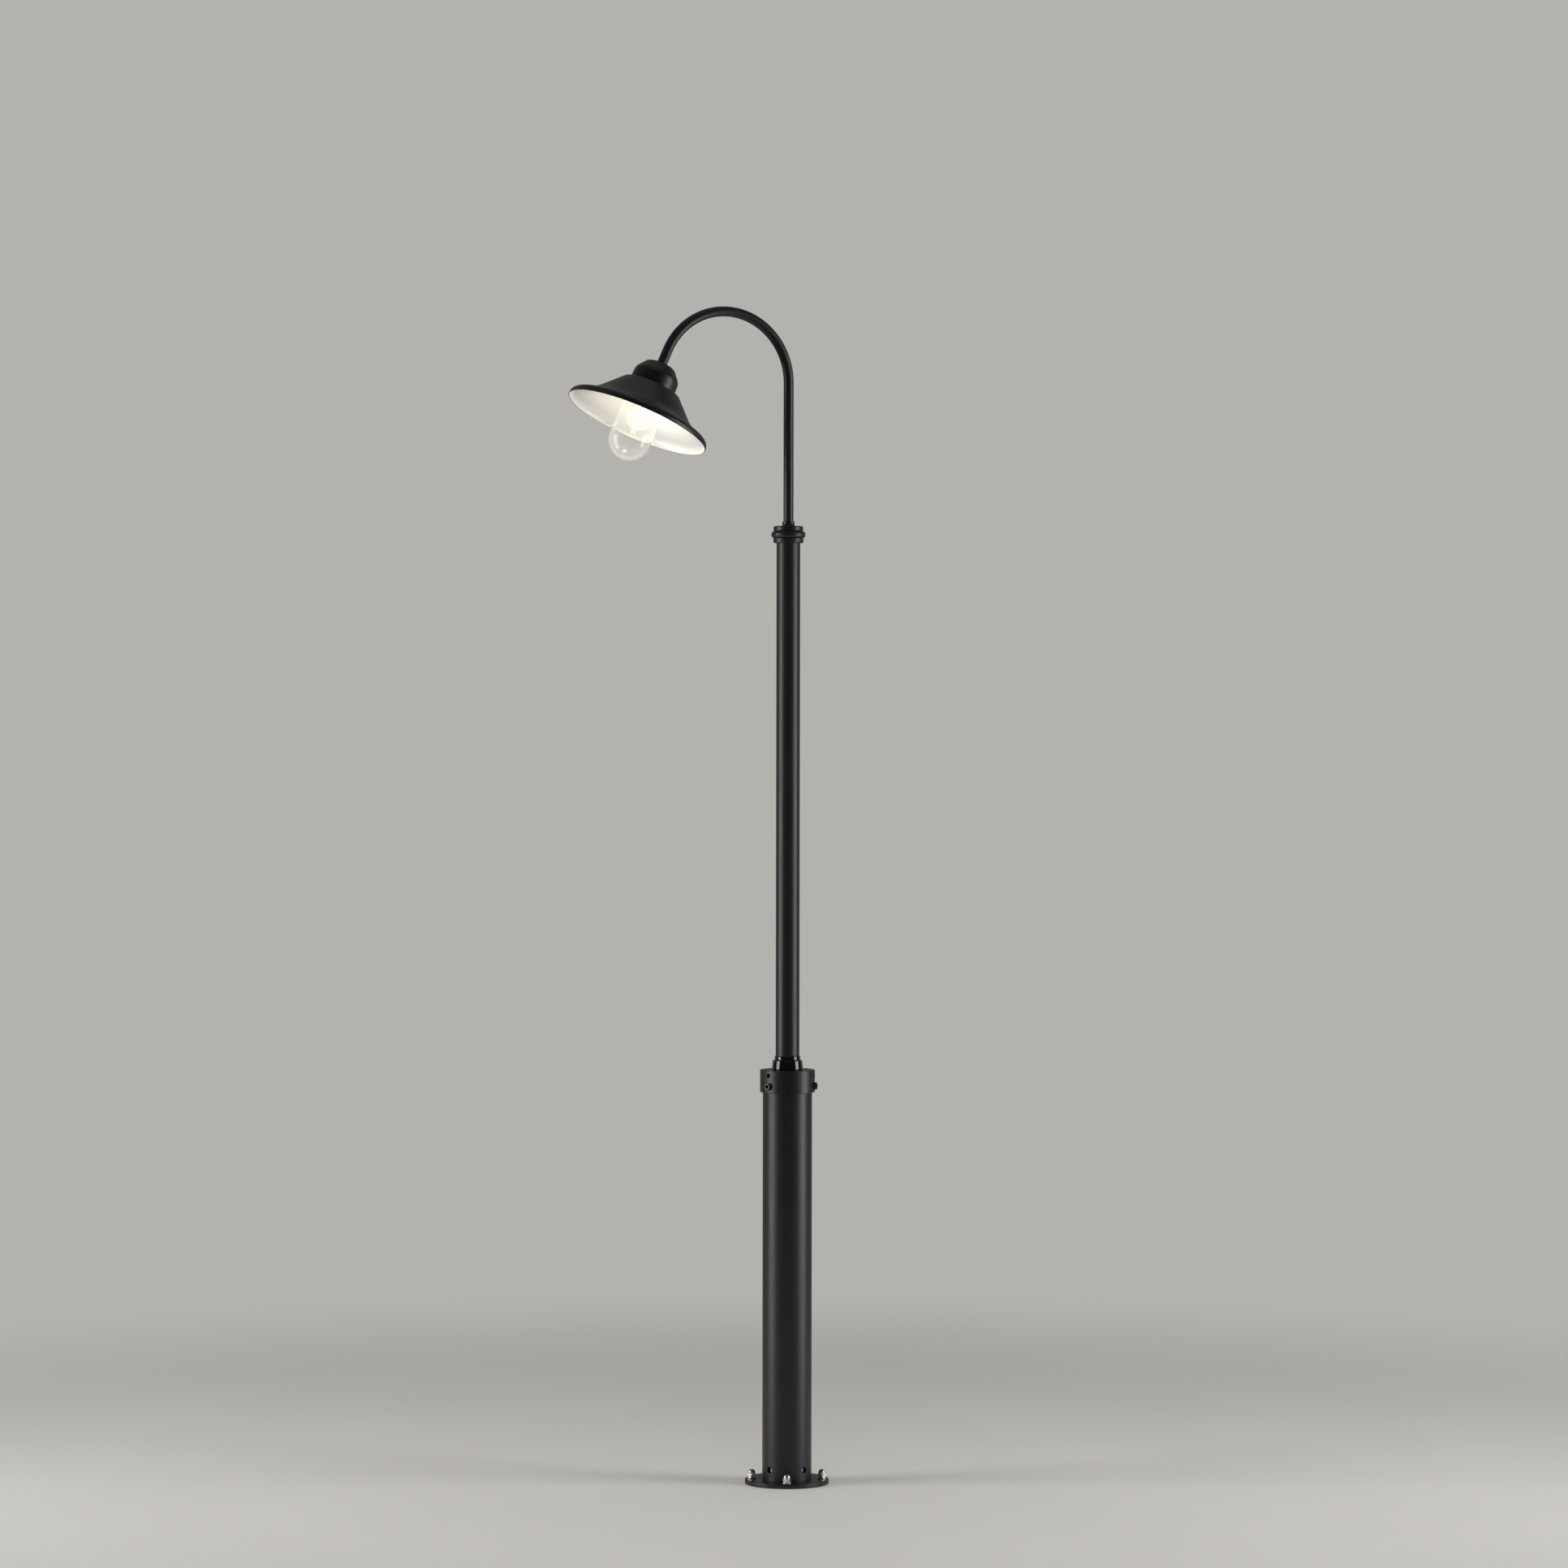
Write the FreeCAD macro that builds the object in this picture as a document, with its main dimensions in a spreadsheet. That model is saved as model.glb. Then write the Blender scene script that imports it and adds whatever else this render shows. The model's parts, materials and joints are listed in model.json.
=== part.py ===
"""Arched street lamp post: a bolted base tube, a swivelling telescopic mast, a gooseneck arm
and a conical shade with a glass globe.

Frame: millimetres, +Z up, origin at the centre of the base plate's underside. The arm arches
towards -X in the XZ plane. The lamp head has a frame of its own: its origin is the middle of
the cap's top, its +Z runs down the lamp axis, so heights in it are depths below the cap's top.
"""
import FreeCAD
import Part
import Sketcher
import math
import os

from FreeCAD import Placement, Rotation, Vector

DRIVING = {
    # base plate and its bolts
    "plate_radius": 75, "plate_thick": 8, "plate_round": 2.5,
    "bolt_circle": 62.5, "bolt_hole": 4.5, "bolt_count": 4, "base_turn": -24.7,
    "cable_hole": 20,
    "washer_radius": 8, "washer_bore": 4.2, "washer_thick": 1.6,
    "nut_flats": 13, "nut_hex_high": 6.5, "nut_high": 15, "nut_dome": 6.25, "nut_thread": 4,
    # ring welded on the plate, and the screws that lock the pole to it
    "spigot_radius": 41.7, "spigot_wall": 6, "spigot_high": 40,
    "lock_height": 27, "lock_screw": 5, "lock_access": 5.75, "lock_count": 4,
    # lower pole and the collar on its top
    "pole_radius": 44, "pole_wall": 2, "pole_top": 719,
    "collar_radius": 49, "collar_base": 698, "collar_top": 738, "collar_bore": 34,
    "collar_round": 1.5, "collar_turn": -158.7, "collar_screws": 3,
    "clamp_height": 709.5, "clamp_screw": 4, "clamp_head": 6.5, "clamp_head_high": 5.2,
    "grub_height": 729, "grub_screw": 4, "grub_recess": 2.5, "notch_radius": 2.5,
    # swivel bush and its gland nut
    "bush_skirt": 28, "bush_neck": 26.3, "bush_nose": 755.5, "bush_foot": 720.4,
    "bush_groove": 31.2, "gland_radius": 23, "gland_top": 763,
    # mast
    "mast_radius": 21.2, "mast_wall": 2, "mast_base": 560, "mast_top": 1698,
    "guide_base": 572, "guide_high": 22,
    # finial collar between mast and arm
    "finial_base": 1678.4, "finial_ring": 26.9, "finial_bead": 30.8, "finial_bead_low": 1686.5,
    "finial_bead_high": 1700, "finial_disc": 26.5, "finial_disc_top": 1708.5,
    "finial_flare": 14.2, "finial_neck": 11.1, "finial_neck_base": 1712.2, "finial_top": 1716.8,
    # gooseneck arm
    "arm_radius": 9, "arm_wall": 1.5, "arm_base": 1684, "arm_spring": 1964.3,
    "arm_bend": 123.2, "arm_turn": 155.5, "arm_drop": 28, "arm_in_cap": 24,
    "arm_nut_flats": 24, "arm_nut_high": 6,
    # lamp head: cap
    "cap_crown": 27.3, "cap_crown_deep": 5, "cap_crown_round": 36, "cap_brow": 37.3,
    "cap_brow_deep": 17.6, "cap_shoulder": 41.3, "cap_shoulder_deep": 28.3, "cap_shoulder_round": 18.5,
    "cap_skirt": 42, "cap_deep": 46, "cap_neck": 40.4, "cap_neck_deep": 58, "cap_bore": 38.7,
    "cap_seat": 34.6, "cap_seat_deep": 24, "cap_roof_deep": 8.5, "cap_boss": 14,
    "cap_boss_deep": 14, "post_radius": 4, "post_offset": 27,
    # lamp head: shade, in degrees and millimetres along its outside
    "shade_sheet": 1.2, "shade_hole": 40.7, "shade_corner": 52, "shade_corner_round": 5,
    "shade_slope": 46.2, "shade_waist": 84, "shade_flare": 77, "shade_brim_slope": 18.8,
    "shade_brim": 8.5, "shade_lip": 11, "shade_hem": 3,
    "clamp_ring": 47.5, "clamp_ring_high": 6,
    # lamp head: globe and gasket
    "globe_radius": 38.1, "globe_glass": 2.5, "globe_mouth": 27, "globe_centre": 148.6,
    "gasket_thick": 2.6,
    # lamp head: lampholder
    "bracket_radius": 33, "bracket_deep": 36, "bracket_thick": 1.5,
    "nipple_radius": 5, "nipple_bore": 3.5, "nipple_deep": 30.5, "nipple_end": 45,
    "holder_radius": 20.5, "holder_deep": 38, "holder_floor": 50, "holder_mouth": 78,
    "holder_bore": 15.2,
    # bulb
    "bulb_tip": 51.2, "bulb_cap_radius": 13, "bulb_cap_deep": 77, "bulb_radius": 22.5,
    "bulb_end": 130, "bulb_glass": 0.8,
}

FREE_FIT = 0.3    # radial room of a moving fit
SCREW_FIT = 0.1   # radial room of a screw or a tube in its own hole

doc = FreeCAD.newDocument("lamp_post")
sheet = doc.addObject("Spreadsheet::Sheet", "params")
for row, (alias, number) in enumerate(DRIVING.items(), start=1):
    sheet.set(f"A{row}", alias)
    sheet.set(f"B{row}", str(number))
    sheet.setAlias(f"B{row}", alias)
doc.recompute()


class Size:
    """A length that knows both its value and the expression that gives it from the sheet."""

    def __init__(self, value, text):
        self.value = value
        self.text = text

    def __add__(self, other):
        other = as_size(other)
        return Size(self.value + other.value, f"({self.text} + {other.text})")

    def __sub__(self, other):
        other = as_size(other)
        return Size(self.value - other.value, f"({self.text} - {other.text})")

    def times(self, other):
        return Size(self.value * other.value, f"({self.text} * {other.text})")

    def __mul__(self, number):
        return Size(self.value * number, f"({self.text} * {number})")

    def __truediv__(self, number):
        return Size(self.value / number, f"({self.text} / {number})")


def turn_parts(angle):
    """The cosine and sine of an angle in degrees, as numbers that keep their expressions."""
    turn = math.radians(angle.value)
    return Size(math.cos(turn), f"cos({angle.text})"), Size(math.sin(turn), f"sin({angle.text})")


def as_size(number):
    if isinstance(number, Size):
        return number
    return Size(float(number), repr(float(number)))


class Cells:
    """Reads the sheet: cells.alias is the Size of that cell."""

    def __getattr__(self, alias):
        return Size(float(sheet.get(alias)), f"params.{alias}")


cells = Cells()
nodes = []


def node(part, label):
    """Names a finished sub-part and lists it for writing."""
    part.Label = label
    nodes.append(part)
    return part


# ---------------------------------------------------------------- placements

def up(height):
    return Placement(Vector(0, 0, as_size(height).value), Rotation())


def upright(radius, angle, height):
    """Stands a piece on a circle about the pole's axis, turned with it."""
    turn = math.radians(angle)
    reach = as_size(radius).value
    spot = Vector(reach * math.cos(turn), reach * math.sin(turn), as_size(height).value)
    return Placement(spot, Rotation(Vector(0, 0, 1), angle))


def radial(radius, angle, height):
    """Lays a piece along a radius, its +Z pointing away from the pole's axis."""
    stood = upright(radius, angle, height)
    return Placement(stood.Base, stood.Rotation * Rotation(Vector(0, 1, 0), 90))


def arm_end():
    """Middle of the cap's top, where the arm's last straight run enters the lamp head."""
    turn = math.radians(cells.arm_turn.value)
    bend = cells.arm_bend.value
    drop = cells.arm_drop.value
    x = -bend * (1 - math.cos(turn)) - drop * math.sin(turn)
    z = cells.arm_spring.value + bend * math.sin(turn) + drop * math.cos(turn)
    return Vector(x, 0, z)


HEAD = Placement(arm_end(), Rotation(Vector(0, 1, 0), 360 - cells.arm_turn.value))


def in_head(x=0, y=0, deep=0):
    return HEAD * Placement(Vector(as_size(x).value, as_size(y).value, as_size(deep).value), Rotation())


# ---------------------------------------------------------------- building blocks

def pin_point(sketch, edge, end, x, y):
    """Fixes one end of an edge at (x, y) from the sketch's origin, bound to the sheet."""
    origin, own = (-1, 1), (edge, end)
    for axis, along, other_axis in (("DistanceX", as_size(x), -2), ("DistanceY", as_size(y), -1)):
        if abs(along.value) < 1e-9:
            sketch.addConstraint(Sketcher.Constraint("PointOnObject", edge, end, other_axis))
            continue
        first, second, length = (origin, own, along)
        if along.value < 0:
            first, second, length = (own, origin, along * -1)
        index = sketch.addConstraint(Sketcher.Constraint(axis, *first, *second, length.value))
        sketch.setExpression(f"Constraints[{index}]", length.text)


def arc_between(start, end, radius, bulge):
    """The short arc from start to end whose middle lies on the bulge side: +1 left, -1 right."""
    chord = end - start
    across = Vector(-chord.y, chord.x, 0).normalize()
    rise = math.sqrt(max(radius ** 2 - (chord.Length / 2) ** 2, 0))
    centre = (start + end) * 0.5 - across * (rise * bulge)
    top = centre + across * (radius * bulge)
    return Part.Arc(start, top, end)


def draw_outline(sketch, outline):
    """Draws a closed outline. Each entry is (x, y), or (x, y, radius, bulge) when an arc leads to it.

    A bulge of -1 lets the arc swell to the right of the way the outline runs, +1 to the left.
    """
    spots = [Vector(as_size(p[0]).value, as_size(p[1]).value, 0) for p in outline]
    count = len(outline)
    ends = []
    for i, entry in enumerate(outline):
        start, end = spots[i - 1], spots[i]
        if len(entry) == 2:
            edge = sketch.addGeometry(Part.LineSegment(start, end), False)
            ends.append((edge, 1, 2))
            continue
        radius, bulge = as_size(entry[2]), entry[3]
        edge = sketch.addGeometry(arc_between(start, end, radius.value, bulge), False)
        forward = sketch.getPoint(edge, 1).distanceToPoint(start) < 1e-6
        ends.append((edge, 1, 2) if forward else (edge, 2, 1))
        index = sketch.addConstraint(Sketcher.Constraint("Radius", edge, radius.value))
        sketch.setExpression(f"Constraints[{index}]", radius.text)
    for i in range(count):
        edge, _, finish = ends[i]
        after, begin, _ = ends[(i + 1) % count]
        sketch.addConstraint(Sketcher.Constraint("Coincident", edge, finish, after, begin))
        pin_point(sketch, edge, finish, *outline[i][:2])


def origin_plane(body, role):
    return [part for part in body.Origin.OriginFeatures if part.Role == role][0]


def new_sketch(body, role, name="Sketch"):
    sketch = body.newObject("Sketcher::SketchObject", name)
    sketch.AttachmentSupport = [(origin_plane(body, role), "")]
    sketch.MapMode = "FlatFace"
    return sketch


def turned(name, outline, placement=None):
    """A PartDesign body: the outline of (radius, height) points, turned about its own Z axis."""
    body = doc.addObject("PartDesign::Body", name)
    sketch = new_sketch(body, "XZ_Plane")
    draw_outline(sketch, outline)
    turn = body.newObject("PartDesign::Revolution", "Revolution")
    turn.Profile = sketch
    turn.ReferenceAxis = (sketch, ["V_Axis"])
    turn.Angle = 360
    sketch.Visibility = False
    if placement:
        body.Placement = placement
    return body


def tube(name, outer, inner, low, high, placement=None):
    return turned(name, [(inner, low), (outer, low), (outer, high), (inner, high)], placement)


def rod(name, radius, length, placement):
    """A Part cylinder, standing on its placement's origin."""
    solid = doc.addObject("Part::Cylinder", name)
    solid.setExpression("Radius", as_size(radius).text)
    solid.setExpression("Height", as_size(length).text)
    solid.Placement = placement
    return solid


def hexagon(name, flats, length, placement):
    """A six-sided bar, given its width across flats."""
    bar = doc.addObject("Part::Prism", name)
    bar.Polygon = 6
    bar.setExpression("Circumradius", f"{as_size(flats).text} / 2 / cos(30)")
    bar.setExpression("Height", as_size(length).text)
    bar.Placement = placement
    return bar


def block(name, length, width, height, placement):
    box = doc.addObject("Part::Box", name)
    box.setExpression("Length", as_size(length).text)
    box.setExpression("Width", as_size(width).text)
    box.setExpression("Height", as_size(height).text)
    box.Placement = placement
    return box


def joined(name, pieces):
    whole = doc.addObject("Part::MultiFuse", name)
    whole.Shapes = pieces
    return whole


def cut(name, base, tools):
    """The base less its tools, which are joined first where there are several."""
    left = doc.addObject("Part::Cut", name)
    left.Base = base
    left.Tool = tools[0] if len(tools) == 1 else joined(name + "_tools", tools)
    return left


def group(name, pieces):
    """Separate equal solids that share one node."""
    together = doc.addObject("Part::Compound", name)
    together.Links = pieces
    return together


def around(count, first):
    """The angles of count pieces spaced evenly, from the first."""
    number = int(round(as_size(count).value))
    return [as_size(first).value + 360.0 / number * i for i in range(number)]


def socket_screw(name, radius, length, key, depth, placement):
    """A headless screw along +Z with a hexagon socket in its outer end."""
    body = rod(name + "_rod", radius, length, placement)
    mouth = placement * up(as_size(length) - depth)
    return cut(name, body, [hexagon(name + "_key", key, as_size(depth) + 1, mouth)])


def cap_screw(name, radius, length, head, head_high, key, placement):
    """A socket-head screw whose shank runs from +Z 0 to length, with its head beyond."""
    length, head_high = as_size(length), as_size(head_high)
    outline = [(0, 0), (radius, 0), (radius, length), (head, length), (head, length + head_high - 0.5),
               (as_size(head) - 0.5, length + head_high), (0, length + head_high)]
    body = turned(name + "_body", outline, placement)
    mouth = placement * up(length + head_high - 3.2)
    return cut(name, body, [hexagon(name + "_key", key, 4, mouth)])


# ---------------------------------------------------------------- base

def bolt_angles():
    return around(cells.bolt_count, cells.base_turn)


def lock_angles():
    return around(cells.lock_count, cells.base_turn + 45)


def collar_angles():
    return around(cells.collar_screws, cells.collar_turn)


def make_base_plate():
    """Round plate with a rounded upper edge, four bolt holes and a hole for the supply cable."""
    c = cells
    edge = c.plate_radius - c.plate_round
    disc = turned("plate_disc", [
        (c.cable_hole, 0), (c.plate_radius, 0), (c.plate_radius, c.plate_thick - c.plate_round),
        (edge, c.plate_thick, c.plate_round, -1), (c.cable_hole, c.plate_thick)])
    drills = [rod(f"plate_drill_{i}", c.bolt_hole, c.plate_thick + 2, upright(c.bolt_circle, angle, -1))
              for i, angle in enumerate(bolt_angles())]
    node(cut("base_plate", disc, drills), "base_plate")


def make_base_ring():
    """Ring welded on the plate: the pole stands over it, and its threads hold the lock screws."""
    c = cells
    inner = c.spigot_radius - c.spigot_wall
    ring = tube("ring_blank", c.spigot_radius, inner, c.plate_thick, c.plate_thick + c.spigot_high)
    drills = [rod(f"ring_drill_{i}", c.lock_screw + SCREW_FIT, c.spigot_wall + 4,
                  radial(inner - 2, angle, c.lock_height)) for i, angle in enumerate(lock_angles())]
    node(cut("base_ring", ring, drills), "base_ring")


def make_lock_screws():
    c = cells
    inner = c.spigot_radius - c.spigot_wall
    screws = [socket_screw(f"lock_screw_{i}", c.lock_screw, c.pole_radius - inner - 0.8, 5, 4,
                           radial(inner, angle, c.lock_height)) for i, angle in enumerate(lock_angles())]
    node(group("base_lock_screws", screws), "base_lock_screws")


def dome_nut(name, placement):
    """A hexagon dome nut, with a blind threaded hole from below."""
    c = cells
    hexed = hexagon(name + "_hex", c.nut_flats, c.nut_hex_high, placement)
    dome = turned(name + "_dome", [
        (0, 0), (c.nut_dome, 0), (c.nut_dome, c.nut_high - c.nut_dome),
        (0, c.nut_high, c.nut_dome, -1)], placement)
    bevel = turned(name + "_bevel", [
        (0, 0), (c.nut_flats / 2, 0), (c.nut_flats / 2 + 2, 1.2),
        (c.nut_flats / 2 + 2, c.nut_hex_high - 1.2), (c.nut_flats / 2, c.nut_hex_high),
        (0, c.nut_hex_high)], placement)
    bevelled = doc.addObject("Part::Common", name + "_corners")
    bevelled.Base = hexed
    bevelled.Tool = bevel
    hole = rod(name + "_hole", c.nut_thread, c.nut_high - 4, placement * up(-1))
    return cut(name, joined(name + "_solid", [bevelled, dome]), [hole])


def make_anchor_hardware():
    """Washers and dome nuts for the foundation's own bolts."""
    c = cells
    washers = [tube(f"washer_{i}", c.washer_radius, c.washer_bore, 0, c.washer_thick,
                    upright(c.bolt_circle, angle, c.plate_thick)) for i, angle in enumerate(bolt_angles())]
    node(group("anchor_washers", washers), "anchor_washers")
    stand = c.plate_thick + c.washer_thick
    nuts = [dome_nut(f"nut_{i}", upright(c.bolt_circle, angle, stand))
            for i, angle in enumerate(bolt_angles())]
    node(group("anchor_nuts", nuts), "anchor_nuts")


def make_lower_pole():
    c = cells
    inner = c.pole_radius - c.pole_wall
    blank = tube("pole_blank", c.pole_radius, inner, c.plate_thick, c.pole_top)
    drills = [rod(f"pole_drill_{i}", c.lock_access, c.pole_wall + 4,
                  radial(inner - 2, angle, c.lock_height)) for i, angle in enumerate(lock_angles())]
    node(cut("lower_pole", blank, drills), "lower_pole")


def make_pole_collar():
    """Collar on the pole's top: a wide bore over the pole, a narrower one above for the bush."""
    c = cells
    seat = c.pole_radius + SCREW_FIT
    blank = turned("collar_blank", [
        (seat, c.collar_base), (c.collar_radius - 0.6, c.collar_base),
        (c.collar_radius, c.collar_base + 0.6),
        (c.collar_radius, c.collar_top - c.collar_round),
        (c.collar_radius - c.collar_round, c.collar_top, c.collar_round, -1),
        (c.collar_bore, c.collar_top), (c.collar_bore, c.pole_top), (seat, c.pole_top)])
    notch_place = radial(c.collar_bore + 6, c.base_turn.value - 90, c.collar_base)
    tools = [rod("collar_notch", c.notch_radius, 12, notch_place)]
    for i, angle in enumerate(collar_angles()):
        tools.append(rod(f"grub_drill_{i}", c.grub_screw + SCREW_FIT, 20,
                         radial(c.collar_bore - 2, angle, c.grub_height)))
        tools.append(rod(f"clamp_drill_{i}", c.clamp_screw + SCREW_FIT, 12,
                         radial(c.pole_radius - 2, angle, c.clamp_height)))
    node(cut("pole_collar", blank, tools), "pole_collar")


def make_collar_screws():
    """Lower row clamps the collar on the pole; the upper row keeps the bush in, in its groove."""
    c = cells
    bite = c.pole_radius + 0.05
    clamps = [cap_screw(f"clamp_{i}", c.clamp_screw, c.collar_radius - bite, c.clamp_head,
                        c.clamp_head_high, 6, radial(bite, angle, c.clamp_height))
              for i, angle in enumerate(collar_angles())]
    node(group("collar_clamp_screws", clamps), "collar_clamp_screws")
    tip = c.bush_groove + FREE_FIT
    length = c.collar_radius - c.grub_recess - tip
    grubs = [socket_screw(f"grub_{i}", c.grub_screw, length, 4, 4, radial(tip, angle, c.grub_height))
             for i, angle in enumerate(collar_angles())]
    node(group("collar_grub_screws", grubs), "collar_grub_screws")


# ---------------------------------------------------------------- swivel bush and mast

def make_swivel_bush():
    """Bush that turns in the collar and guides the mast. The grub screws run in its groove."""
    c = cells
    bore = c.mast_radius + FREE_FIT
    hub = c.collar_bore - FREE_FIT
    groove = c.grub_screw + 0.5
    rest = c.collar_top + FREE_FIT
    node(turned("swivel_bush", [
        (bore, c.bush_foot), (hub, c.bush_foot), (hub, c.grub_height - groove),
        (c.bush_groove, c.grub_height - groove), (c.bush_groove, c.grub_height + groove),
        (hub, c.grub_height + groove), (hub, rest - 1), (c.bush_skirt - 0.6, rest - 1),
        (c.bush_skirt - 0.6, rest), (c.bush_skirt, rest + 0.6), (c.bush_neck, c.bush_nose - 1),
        (c.bush_neck - 1, c.bush_nose, 1, -1), (bore, c.bush_nose)]), "swivel_bush")
    node(turned("gland_nut", [
        (bore, c.bush_nose), (c.gland_radius, c.bush_nose), (c.gland_radius, c.gland_top - 1.2),
        (c.gland_radius - 1.2, c.gland_top, 1.2, -1), (bore, c.gland_top)]), "gland_nut")


def make_mast():
    c = cells
    inner = c.mast_radius - c.mast_wall
    node(tube("upper_pole", c.mast_radius, inner, c.mast_base, c.mast_top), "upper_pole")
    slide = c.pole_radius - c.pole_wall - FREE_FIT
    hub = c.mast_radius + SCREW_FIT
    top = c.guide_base + c.guide_high
    node(turned("mast_guide", [
        (hub, c.guide_base), (slide - 1.5, c.guide_base), (slide, c.guide_base + 1.5),
        (slide, top - 1.5), (slide - 1.5, top), (hub, top)]), "mast_guide")


def make_finial():
    """Stepped and beaded collar that caps the mast and holds the arm."""
    c = cells
    socket = c.mast_radius + SCREW_FIT
    hole = c.arm_radius + SCREW_FIT
    bead = (c.finial_bead_high - c.finial_bead_low) / 2
    waist = c.finial_bead - bead
    drip = 2
    blank = turned("finial_blank", [
        (socket, c.finial_base), (c.finial_ring - drip, c.finial_base),
        (c.finial_ring, c.finial_base + drip, drip, -1), (c.finial_ring, c.finial_bead_low - 0.4),
        (waist, c.finial_bead_low), (c.finial_bead, c.finial_bead_low + bead, bead, -1),
        (waist, c.finial_bead_high, bead, -1), (c.finial_disc, c.finial_bead_high + 0.4),
        (c.finial_disc, c.finial_disc_top - drip), (c.finial_disc - drip, c.finial_disc_top, drip, -1),
        (c.finial_flare, c.finial_disc_top), (c.finial_neck - 0.6, c.finial_neck_base - 0.4, 4.6, 1),
        (c.finial_neck, c.finial_neck_base), (c.finial_neck, c.finial_top - 1),
        (c.finial_neck - 1, c.finial_top, 1, -1), (hole, c.finial_top), (hole, c.mast_top),
        (socket, c.mast_top)])
    back = c.base_turn.value + 90
    height = c.finial_base + 5.2
    drill = rod("finial_drill", 2.5 + SCREW_FIT, 10, radial(c.mast_radius - 2, back, height))
    node(cut("finial_collar", blank, [drill]), "finial_collar")
    node(socket_screw("finial_screw", 2.5, c.finial_ring - socket - 0.4, 2.5, 2.5,
                      radial(socket, back, height)), "finial_screw")


# ---------------------------------------------------------------- arm

def make_arm():
    """Bent tube: straight up the mast's axis, over one arc, then straight into the lamp cap."""
    c = cells
    cosine, sine = turn_parts(c.arm_turn)
    crest_x = c.arm_bend.times(cosine) - c.arm_bend
    crest_z = c.arm_bend.times(sine) + c.arm_spring
    tail = c.arm_drop + c.arm_in_cap
    end_x = crest_x - tail.times(sine)
    end_z = crest_z + tail.times(cosine)
    body = doc.addObject("PartDesign::Body", "arm_body")
    path = new_sketch(body, "XZ_Plane", "ArmPath")
    spring = Vector(0, c.arm_spring.value, 0)
    crest = Vector(crest_x.value, crest_z.value, 0)
    centre = Vector(-c.arm_bend.value, c.arm_spring.value, 0)
    circle = Part.Circle(centre, Vector(0, 0, 1), c.arm_bend.value)
    path.addGeometry(Part.LineSegment(Vector(0, c.arm_base.value, 0), spring), False)
    path.addGeometry(Part.ArcOfCircle(circle, 0, math.radians(c.arm_turn.value)), False)
    path.addGeometry(Part.LineSegment(crest, Vector(end_x.value, end_z.value, 0)), False)
    pin_point(path, 0, 1, 0, c.arm_base)
    pin_point(path, 0, 2, 0, c.arm_spring)
    pin_point(path, 1, 3, c.arm_bend * -1, c.arm_spring)
    width = path.addConstraint(Sketcher.Constraint("DistanceX", 2, 1, -1, 1, -crest_x.value))
    path.setExpression(f"Constraints[{width}]", (crest_x * -1).text)
    pin_point(path, 2, 2, end_x, end_z)
    path.addConstraint(Sketcher.Constraint("Coincident", 0, 2, 1, 1))
    path.addConstraint(Sketcher.Constraint("Coincident", 1, 2, 2, 1))
    ring = new_sketch(body, "XY_Plane", "ArmSection")
    ring.AttachmentOffset = up(c.arm_base)
    ring.setExpression("AttachmentOffset.Base.z", c.arm_base.text)
    for radius in (c.arm_radius, c.arm_radius - c.arm_wall):
        edge = ring.addGeometry(Part.Circle(Vector(0, 0, 0), Vector(0, 0, 1), radius.value), False)
        ring.addConstraint(Sketcher.Constraint("Coincident", edge, 3, -1, 1))
        index = ring.addConstraint(Sketcher.Constraint("Radius", edge, radius.value))
        ring.setExpression(f"Constraints[{index}]", radius.text)
    pipe = body.newObject("PartDesign::AdditivePipe", "ArmPipe")
    pipe.Profile = ring
    pipe.Spine = (path, ["Edge1", "Edge2", "Edge3"])
    node(body, "arm_tube")


def lock_nut(name, placement):
    """Hexagon nut on the arm's threaded end."""
    c = cells
    bar = hexagon(name + "_hex", c.arm_nut_flats, c.arm_nut_high, placement)
    hole = rod(name + "_hole", c.arm_radius + SCREW_FIT, c.arm_nut_high + 2, placement * up(-1))
    return cut(name, bar, [hole])


def make_arm_nuts():
    c = cells
    node(lock_nut("arm_foot_nut", up(c.mast_top - c.arm_nut_high)), "arm_foot_nut")
    node(lock_nut("arm_head_nut", in_head(deep=c.cap_boss_deep)), "arm_head_nut")


# ---------------------------------------------------------------- lamp head

def make_cap():
    """Bell-shaped cap: the arm enters its crown, the shade hangs under its skirt."""
    c = cells
    hole = c.arm_radius + SCREW_FIT
    shell = turned("cap_shell", [
        (hole, 0, c.cap_crown_round, 1), (hole, c.cap_boss_deep), (c.cap_boss, c.cap_boss_deep),
        (c.cap_boss, c.cap_roof_deep), (c.cap_crown - 5, c.cap_roof_deep),
        (c.cap_seat, c.cap_seat_deep - 4), (c.cap_seat, c.cap_seat_deep),
        (c.cap_bore, c.cap_seat_deep), (c.cap_bore, c.cap_neck_deep), (c.cap_neck, c.cap_neck_deep),
        (c.cap_neck, c.cap_deep), (c.cap_skirt, c.cap_deep), (c.cap_shoulder, c.cap_shoulder_deep),
        (c.cap_brow, c.cap_brow_deep, c.cap_shoulder_round, 1), (c.cap_crown, c.cap_crown_deep)], HEAD)
    posts, drills = [], []
    for i, side in enumerate((-1, 1)):
        posts.append(rod(f"cap_post_{i}", c.post_radius, c.bracket_deep - 12,
                         in_head(y=c.post_offset * side, deep=12)))
        drills.append(rod(f"cap_drill_{i}", 2 + SCREW_FIT, 12,
                          in_head(y=c.post_offset * side, deep=c.bracket_deep - 10)))
    node(cut("lamp_cap", joined("cap_solid", [shell] + posts), drills), "lamp_cap")


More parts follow.
